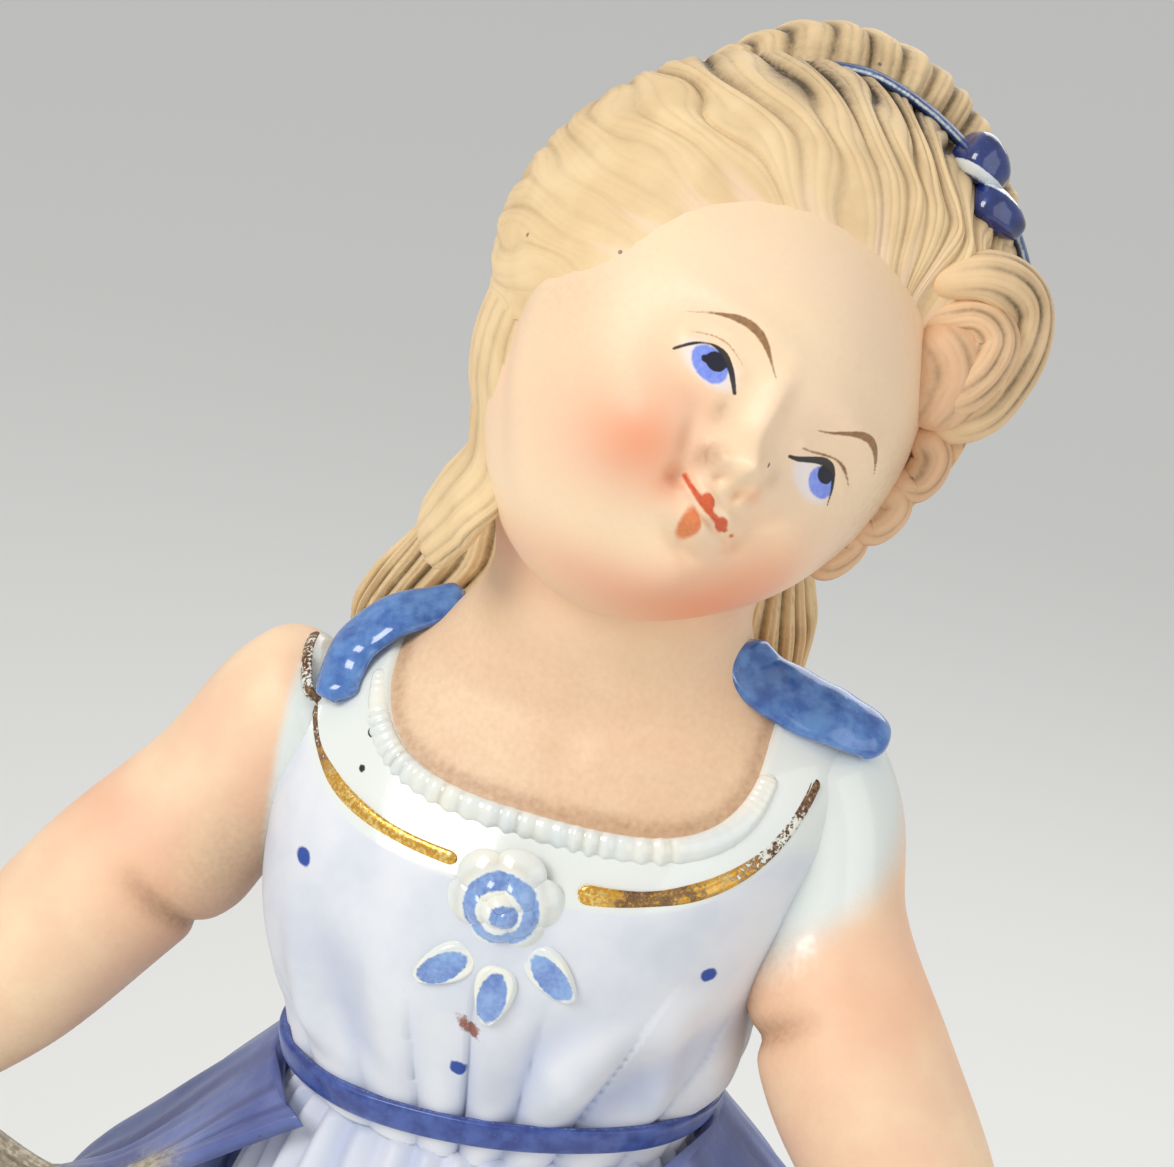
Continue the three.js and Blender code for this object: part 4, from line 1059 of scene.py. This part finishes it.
# %% Belt
belt_angle = np.linspace(-np.pi, np.pi, 361)[:, None]
a = np.linspace(0, 2 * np.pi, 29)[None, :]
square = lambda v: np.sign(v) * np.abs(v) ** 0.55
rise = 1.6 * square(np.sin(a)) + 1.6 + 1.9 * np.sin(belt_angle) + 0.2 * np.sin(belt_angle * 3 + 0.4)
thick = 0.7 * square(np.cos(a)) + 0.1 * np.sin(belt_angle * 9) * np.cos(a)
wide, deep, mid_x, mid_y = trunk_section(rise)
belt = np.stack([mid_x + (wide + 0.8 + thick) * np.sin(belt_angle), mid_y - (deep + 0.8 + thick) * np.cos(belt_angle), rise + 0 * belt_angle], axis=-1)
belt_mesh = mesh_from(belt, "waist_belt", TORSO, fields=dict(thin_edge_and_highlight=np.abs(np.sin(a)) ** 10 * 0.5 + 0 * belt_angle))
belt_piece = piece("waist_belt", belt_mesh, belt_blue, "belt_blue", "waist_belt")

# %% [markdown]
# The arms are plump coils that run out of the sleeves, with a soft crease in the elbow. Over her left shoulder the
# dress's glazed cap sleeve covers the top of the arm, and its white fades into the skin.

# %% Arms
ARM_PATHS = {
    "right": ([(-20.2, 3.8, 228.4), (-26, 3.7, 222.8), (-33, 2.5, 212.6), (-43.5, -0.5, 201), (-52.5, -3.5, 190), (-60, -6, 181), (-63, -7, 177)],
              [7.4, 8.9, 9.0, 9.3, 8.5, 6.0, 5.0], (-0.7, 0.0, -0.7)),
    "left": ([(27, 3.5, 231), (31, 2.5, 223), (32.6, 0.4, 212), (37.4, -5, 200.5), (45, -10, 190), (52.5, -14.5, 180.5), (55, -16, 177)],
             [6.6, 7.2, 7.9, 9.8, 9.0, 6.2, 4.8], (0.9, 0.0, -0.4)),
}
for name, (path, radii, crease_side) in ARM_PATHS.items():
    grid, t, a = tube(path, radii, 200, 130, 1.0, up=(0, 1, 0), cap=0.7)
    out = outward(grid)
    inner = soft((out * np.array([0.75 if name == "right" else -0.75, -0.3, -0.6])).sum(axis=-1), -0.1, 0.8)
    elbow = 0.46
    fold = -0.9 * np.exp(-(((t - elbow) / 0.018) ** 2)) * inner + 0.8 * np.exp(-(((t - elbow + 0.07) / 0.05) ** 2)) * inner
    grid = grid + out * fold[..., None]
    # The blush round the elbow is paint. On the inner side, found from the way the surface faces, the blush near the
    # shoulder and the brown along the arm, deepest in the elbow crease, are painted shade.
    blush_and_shade = 0.08 + 0.3 * np.exp(-(((t - elbow) / 0.09) ** 2)) + 0.15 * np.exp(-(((t - 0.2) / 0.1) ** 2)) * inner
    arm_fields = dict(blush=blush_and_shade + 0 * a, grime_and_shade=(0.6 * np.exp(-(((t - elbow) / 0.02) ** 2)) + 0.15 + 0.3 * np.exp(-(((t - 0.33) / 0.1) ** 2))) * inner)
    strap = (-27.6 - (grid[..., 0] * math.cos(math.radians(4)) - (grid[..., 2] - 188) * math.sin(math.radians(4)))) * 0.8
    arm_fields["sleeve"] = 9 * (t - 0.22) + 1.1 * np.sin(a + 0.8) if name == "left" else strap
    arm_mesh = mesh_from(grid, "arm_" + name, fields=arm_fields)
    finish = Finish("arm_bisque_" + name, Specular_IOR_Level=0.45, Coat_Roughness=0.1)
    colour, fine = skin_body(finish, shade(0.94, 0.79, 0.665))
    cap = finish.step(finish.field("sleeve") + (fine - 0.5) * 0.4, 0.7, -0.5)
    colour = finish.over(cap, colour, shade(0.885, 0.91, 0.895))
    arm_finish = finish.done(colour, 0.42 + fine * 0.16 - cap * 0.3, finish.noise(5, 2), 0.012, Coat_Weight=cap * 0.9)
    piece("arm_" + name, arm_mesh, arm_finish, "skin_bisque", "arm_" + name)

# %% [markdown]
# Each hand is a closed fist on the edge of the overskirt. The fingers are short coils laid over a palm, fused by a
# voxel remesh and smoothed, which gives the soft, slightly vague hands of a small casting.

# %% Hands
def fused(mesh, name, voxel, smoothing):
    """Coils fused into one skin."""
    obj = bpy.data.objects.new(name, mesh)
    scene.collection.objects.link(obj)
    remesh = obj.modifiers.new("fuse", "REMESH")
    remesh.mode, remesh.voxel_size = "VOXEL", voxel * 0.001
    smooth = obj.modifiers.new("soften", "SMOOTH")
    smooth.factor, smooth.iterations = 0.5, smoothing
    graph = bpy.context.evaluated_depsgraph_get()
    result = bpy.data.meshes.new_from_object(obj.evaluated_get(graph))
    bpy.data.objects.remove(obj)
    for field in ("blush", "grime_and_shade"):
        layer = result.attributes.new(field, "FLOAT", "POINT")
        layer.data.foreach_set("value", np.full(len(result.vertices), 0.3 if field == "blush" else 0.08, np.float32))
    result.shade_smooth()
    result.name = name
    return result


for name, side, (cx, cy, cz) in (("right", -1, (-65, -7.8, 174.5)), ("left", 1, (56.8, -17.2, 174.2))):
    coils = [tube([(cx - side * 3, cy + 1, cz + 3.5), (cx, cy, cz), (cx + side * 0.6, cy - 0.4, cz - 3)], [4.2, 4.6, 3.2], 24, 20)[0]]
    for k in range(4):
        top = np.array([cx + side * 1.8, cy - 3.4 + 2.0 * k, cz + 2.6 - 0.5 * abs(k - 1)])
        knuckle = top + np.array([side * 2.6, 0, -1.6])
        tip = top + np.array([side * 0.4, 0, -5.2])
        coils.append(tube([top, knuckle, (knuckle + tip) / 2 + np.array([side * 0.6, 0, -0.4]), tip], [1.35, 1.4, 1.3, 1.15], 18, 14)[0])
    coils.append(tube([(cx - side * 2, cy - 3.2, cz + 1), (cx + side * 0.6, cy - 5, cz - 1.6), (cx + side * 2.6, cy - 4.4, cz - 3)],
                      [1.7, 1.5, 1.25], 18, 14)[0])
    hand = fused(merged("hand", [mesh_from(c, "coil") for c in coils]), "hand_" + name, 0.45, 3)
    piece("hand_" + name, hand, body_skin, "skin_bisque", "hand_" + name)

# %% [markdown]
# The underskirt hangs in deep, uneven folds from the belt to the calf. Its hem is rolled, and the inside of its
# lower part is hollow as it is in a real casting.

# %% Underskirt
def skirt_grid(rows=150, columns=520):
    t = np.linspace(0, 1, rows)[:, None]
    angle = np.linspace(-np.pi, np.pi, columns + 1)[None, :]
    spread = (1 - t) ** 0.8
    bell = np.sin(np.pi * t) * 4
    wave = np.cos(15 * angle + 0.9 * np.sin(3 * angle) + 0.6 * t)
    small = np.cos(34 * angle + 1.4 * np.sin(5 * angle))
    fold = (1.9 * spread + 0.5) * wave * soft(1 - t, -0.02, 0.2) + 0.45 * small * (0.4 + t)
    a = 20.4 + 22.0 * spread + bell + fold
    b = 15.4 + 23.0 * spread + bell + fold
    z = 80 + 106 * t - 0.6 * wave * (1 - t)
    return np.stack([a * np.sin(angle), 1.5 * (1 - t) - b * np.cos(angle), z + 0 * angle], axis=-1), t, wave, small


skirt, t, wave, small = skirt_grid()
# fold: painted shade in the valleys of the folds and at the top, under the belt.
skirt_fields = dict(glaze=0 * wave * t, fold=np.clip(-wave, 0, 1) * 0.35 + np.clip(-small, 0, 1) * 0.2 + 0.3 * soft(t, 0.8, 1))
inner_rows = skirt[:40][::-1].copy()
inner_rows[..., :2] *= 0.955
skirt_all = np.concatenate([inner_rows, skirt], axis=0)
skirt_all_fields = {k: np.concatenate([v[:40][::-1], v], axis=0) for k, v in skirt_fields.items()}
skirt_mesh = mesh_from(skirt_all, "underskirt", caps=True, fields=skirt_all_fields)
skirt_white = dress_finish("skirt_bisque", False)
underskirt = piece("underskirt", skirt_mesh, skirt_white, "skirt_bisque", "underskirt")

# %% [markdown]
# The overskirt is a thick sheet drawn out to both hands. Folds fan out from each fist and from the belt. It is
# painted blue to violet near the belt and thins to an olive, speckled body colour towards the edges. Shade is
# painted into the valleys of its folds.

# %% Overskirt
GUIDES = [
    [(-17.5, -13, 185), (-41, -13, 172), (-63, -9, 176), (-67, -8, 148), (-60, -6, 108)],
    [(-21.5, -7, 185.5), (-40, -4, 168), (-57, 0, 160), (-62, 3, 137), (-59, 4, 105)],
    [(-23, 5, 187.2), (-35, 13, 172), (-46, 18, 154), (-52, 20, 130), (-53, 22, 101)],
    [(-15, 15, 188), (-22, 24, 173), (-28, 32, 155), (-32, 37, 130), (-34, 41, 98)],
    [(0, 18.3, 188.4), (0, 28, 174), (0, 37, 156), (0, 43, 130), (0, 47, 96)],
    [(15, 15, 188.2), (22, 24, 173), (28, 32, 155), (32, 37, 130), (34, 41, 98)],
    [(23, 5, 187.4), (34, 12, 171), (44, 16, 152), (50, 19, 128), (51, 21, 100)],
    [(21.5, -7, 185.5), (37, -7, 165), (50, -6, 153), (57, -4, 133), (55, -1, 103)],
    [(17.5, -13, 185), (38, -18, 167), (54.5, -17.5, 166), (61, -14, 142), (56, -11, 104)],
]
sheet = through(np.moveaxis(through(np.array(GUIDES, float), 420), 0, 1), 130)
u = np.linspace(0, 1, 420)[None, :]
v = np.linspace(0, 1, 130)[:, None]
normal = outward(sheet, wrap=False)
folds = np.sin(u * 2 * np.pi * 15 + 0.8 * np.sin(u * 19) + 0.7 * v)
ripple = 1.1 * folds * soft(v, 0.02, 0.5) + 0.4 * np.sin(u * 2 * np.pi * 37 + 2 * v) * soft(v, 0, 0.4) * (1 - 0.5 * v)
sheet = sheet + normal * ripple[..., None]
normal = outward(sheet, wrap=False)
outer, lining = sheet + normal * 0.85, sheet - normal * 0.85
closed = np.concatenate([outer, lining[:, ::-1], outer[:, :1]], axis=1)
# Painted shade in the valleys of the folds, on the outer face and on the lining.
fold_shade_field = np.concatenate([np.clip(-folds, 0, 1) + 0 * v, np.clip(folds, 0, 1)[:, ::-1] + 0 * v, np.clip(-folds, 0, 1)[:, :1] + 0 * v], axis=1)
reach = soft(np.abs(2 * u - 1), 0.45, 0.95) * soft(v, 0.02, 0.22) + 0 * v
reach_field = np.concatenate([reach, reach[:, ::-1], reach[:, :1]], axis=1)
over_mesh = mesh_from(closed, "overskirt", caps=True, fields=dict(fold=fold_shade_field, reach=reach_field))
finish = Finish("drape_enamel", Coat_Weight=0.35, Coat_Roughness=0.15)
cloud, fine = finish.noise(0.07, 4, 3), finish.noise(1.4, 5, 6)
colour = finish.over(finish.step(cloud, 0.35, 0.65), shade(0.30, 0.36, 0.60), shade(0.47, 0.53, 0.74))
# Painted violet shade in the fold valleys.
colour = finish.over(finish.field("fold") * 0.5, colour, shade(0.22, 0.22, 0.42))
olive = finish.over(finish.step(fine, 0.4, 0.65), shade(0.56, 0.50, 0.38), shade(0.76, 0.72, 0.60))
colour = finish.over(finish.step(finish.field("reach") + (cloud - 0.5) * 0.5, 0.42, 0.85) * 0.9, colour, olive)
colour = finish.over(finish.specks(2.2, 0.3, 6) * 0.6, colour, shade(0.25, 0.24, 0.18))
drape = finish.done(colour, 0.38 + fine * 0.2, finish.noise(1.6, 4), 0.05)
overskirt = piece("overskirt", over_mesh, drape, "drape_glaze", "overskirt")

# %% [markdown]
# Below the hem she wears white stockings and blue boots with a gilt top, whose lacing is worked out but not laid
# on, and stands on a round stepped base, the usual foot for such a figure; the base's gold line has a field that its
# glaze does not read. Leg and boot are one casting.

# %% Legs and boots
finish = Finish("boot_and_stocking", Coat_Roughness=0.08)
fine = finish.noise(1.5, 4, 5)
boot = finish.step(finish.field("boot") + (fine - 0.5) * 0.1, -0.05, 0.05)
colour = finish.over(finish.step(fine, 0.3, 0.7), shade(0.93, 0.92, 0.88), shade(0.88, 0.88, 0.86))
leather = finish.over(finish.step(fine, 0.35, 0.65), shade(0.17, 0.27, 0.56), shade(0.32, 0.45, 0.74))
colour = finish.over(boot, colour, leather)
gilt = finish.step(finish.field("gilt"), 0.3, 0.1)
colour = finish.over(gilt, colour, shade(0.82, 0.62, 0.26))
colour = finish.over(finish.specks(4, 0.3) * 0.5, colour, DIRT)
boots = finish.done(colour, 0.45 - boot * 0.25 + fine * 0.1, finish.noise(3, 2), 0.02, Coat_Weight=boot * 0.8)


def leg_mesh(name, side):
    x = side * 9
    shank, t, a = tube([(x, 1, 96), (x, 1, 78), (x, 0.6, 64), (x, 1.6, 50), (x, 2, 38), (x, 2, 30), (x, 1, 20)],
                       [6.8, 7.0, 7.0, 6.6, 5.0, 5.1, 6.0], 120, 64, cap=0.5, up=(0, 1, 0))
    shoe, s, b = tube([(x, 7.4, 22.6), (x, 2, 23.2), (x + side * 0.8, -6, 22.6), (x + side * 1.8, -15, 21.8), (x + side * 2, -17.5, 21.6)],
                      [4.4, 5.2, 5.4, 5.0, 3.4], 90, 64, 0.82, up=(0, 0, 1))
    shoe[..., 2] = np.maximum(shoe[..., 2], 18.35)
    coils = [mesh_from(shank, "shank"), mesh_from(shoe, "shoe")]
    mesh = fused(merged(name, coils), name, 0.5, 4)
    z = np.zeros(len(mesh.vertices) * 3)
    mesh.vertices.foreach_get("co", z)
    co = (z.reshape(-1, 3) - FOOT) * 1000
    lace = np.where(co[:, 1] < 0, 0.9 * np.sin(co[:, 2] * 2.1), 0)
    for field, values in (("boot", (37.5 + 1.5 * np.cos((co[:, 1] - 2) / 3) - co[:, 2]) * 0.5),
                          ("gilt", np.abs(co[:, 2] - 37.6 - 1.5 * np.cos((co[:, 1] - 2) / 3)))):
        layer = mesh.attributes.new(field, "FLOAT", "POINT")
        layer.data.foreach_set("value", values.astype(np.float32))
    return mesh


for name, side in (("left", 1), ("right", -1)):
    piece("leg_" + name, leg_mesh("leg_" + name, side), boots, "white_bisque", "leg_" + name)

# %% Base
profile = [(0.01, 11.9), (3.9, 11.9), (4.0, 11.6), (4.0, 2.8), (4.3, 2.5), (43.4, 2.5), (44, 2.2), (44.2, 0.3), (44.6, 0), (49.2, 0), (49.8, 0.4),
           (50, 1.2), (50, 3.6), (49.6, 4.6), (47.6, 6.4), (46.4, 7.2), (45.6, 8.4), (45.2, 9.6), (45.2, 11.8), (45.8, 13.4), (46, 14.6), (45.7, 15.8),
           (44.8, 16.8), (43.4, 17.6), (41.5, 17.95), (30, 18), (0.01, 18)]
outline = np.array(profile, float)
steps = np.concatenate([[0], np.cumsum(np.linalg.norm(np.diff(outline, axis=0), axis=1))])
at = np.unique(np.concatenate([steps, np.linspace(0, steps[-1], 120)]))
r, z = np.interp(at, steps, outline[:, 0])[:, None], np.interp(at, steps, outline[:, 1])[:, None]
angle = np.linspace(0, 2 * np.pi, 241)[None, :]
rocky = np.where((z > 17) & (r < 40), 0.25 * np.sin(r * 0.5 + 2 * np.sin(angle * 3)) * np.cos(angle * 4 + r * 0.2) - 0.25, 0)
base_grid = np.stack([r * np.cos(angle), r * np.sin(angle), z + rocky], axis=-1)
# fold: painted shade in the base's groove and round its foot.
base_fields = dict(fold=0.4 * np.exp(-((z - 8) / 1.2) ** 2) + 0.5 * (z < 1) + 0 * angle, blue=np.abs(z - 14.6) - 0.8 + 0 * angle + 9 * (r < 44),
                   gilt=np.abs(z - 4.0) - 0.5 + 0 * angle)
base_mesh = mesh_from(base_grid, "base", fields=base_fields)
base = piece("base", base_mesh, trim_glaze, "base_glaze", "base")

# %% [markdown]
# A plain pale floor, a large soft window of light from the upper left, a weaker one from the right, and a bright
# surround: the way a small figure is photographed for a catalogue. The camera looks down at her from just over her
# own eye level, a little rolled.

# %% Studio
bm = bmesh.new()
bmesh.ops.create_grid(bm, x_segments=1, y_segments=1, size=4)
floor_mesh = bpy.data.meshes.new("floor")
bm.to_mesh(floor_mesh)
bm.free()
floor = bpy.data.objects.new("floor", floor_mesh)
floor_mesh.transform(Matrix.Translation((0, 0, float(foot_low.z) - 0.0002)))
scene.collection.objects.link(floor)
finish = Finish("floor_paper")
floor_mesh.materials.append(finish.done(shade(0.93, 0.93, 0.92), 0.9))


def window(name, place, target, size, power, tint=(1, 1, 1)):
    light = bpy.data.lights.new(name, "AREA")
    light.size, light.energy, light.color = size, power, tint
    obj = bpy.data.objects.new(name, light)
    spot, aim = world(place), world(target)
    back = Matrix.Identity(3)
    toward = (spot - aim) / np.linalg.norm(spot - aim)
    side = np.cross((0, 0, 1), toward)
    side /= np.linalg.norm(side)
    turn = np.stack([side, np.cross(toward, side), toward], axis=1)
    obj.matrix_world = Matrix.Translation(spot) @ Matrix(turn.tolist()).to_4x4()
    scene.collection.objects.link(obj)


window("key", (-330, -420, 620), (0, 0, 235), 0.32, 2.5, (1, 0.985, 0.96))
window("fill", (480, -360, 330), (0, 0, 230), 0.5, 0.7, (0.97, 0.98, 1))
window("rim", (120, 420, 520), (0, 0, 240), 0.4, 1.0)
surround = bpy.data.worlds.new("surround")
surround.use_nodes = True
surround.node_tree.nodes["Background"].inputs["Color"].default_value = (1, 1, 1, 1)
surround.node_tree.nodes["Background"].inputs["Strength"].default_value = 0.58
scene.world = surround
scene.view_settings.view_transform = "Standard"

# %% Camera
AZIMUTH, ELEVATION, ROLL, DISTANCE, FRAME_WIDTH = 9, 20, 7, 345, 117.4
aim = np.array([3.4, 0, 244])
az, el, roll = (math.radians(v) for v in (AZIMUTH, ELEVATION, ROLL))
toward = np.array([math.sin(az) * math.cos(el), -math.cos(az) * math.cos(el), math.sin(el)])
right = np.array([math.cos(az), math.sin(az), 0])
up = np.cross(toward, right)
right, up = right * math.cos(roll) + up * math.sin(roll), up * math.cos(roll) - right * math.sin(roll)
camera_data = bpy.data.cameras.new("camera")
camera_data.lens = camera_data.sensor_width * DISTANCE / FRAME_WIDTH
camera_data.clip_start = 0.01
camera = bpy.data.objects.new("camera", camera_data)
turn = Matrix(np.stack([right, up, toward], axis=1).tolist()).to_4x4()
camera.matrix_world = Matrix.Translation(world(aim + toward * DISTANCE)) @ turn
scene.collection.objects.link(camera)
scene.camera = camera
print("lens:", round(camera_data.lens, 1))
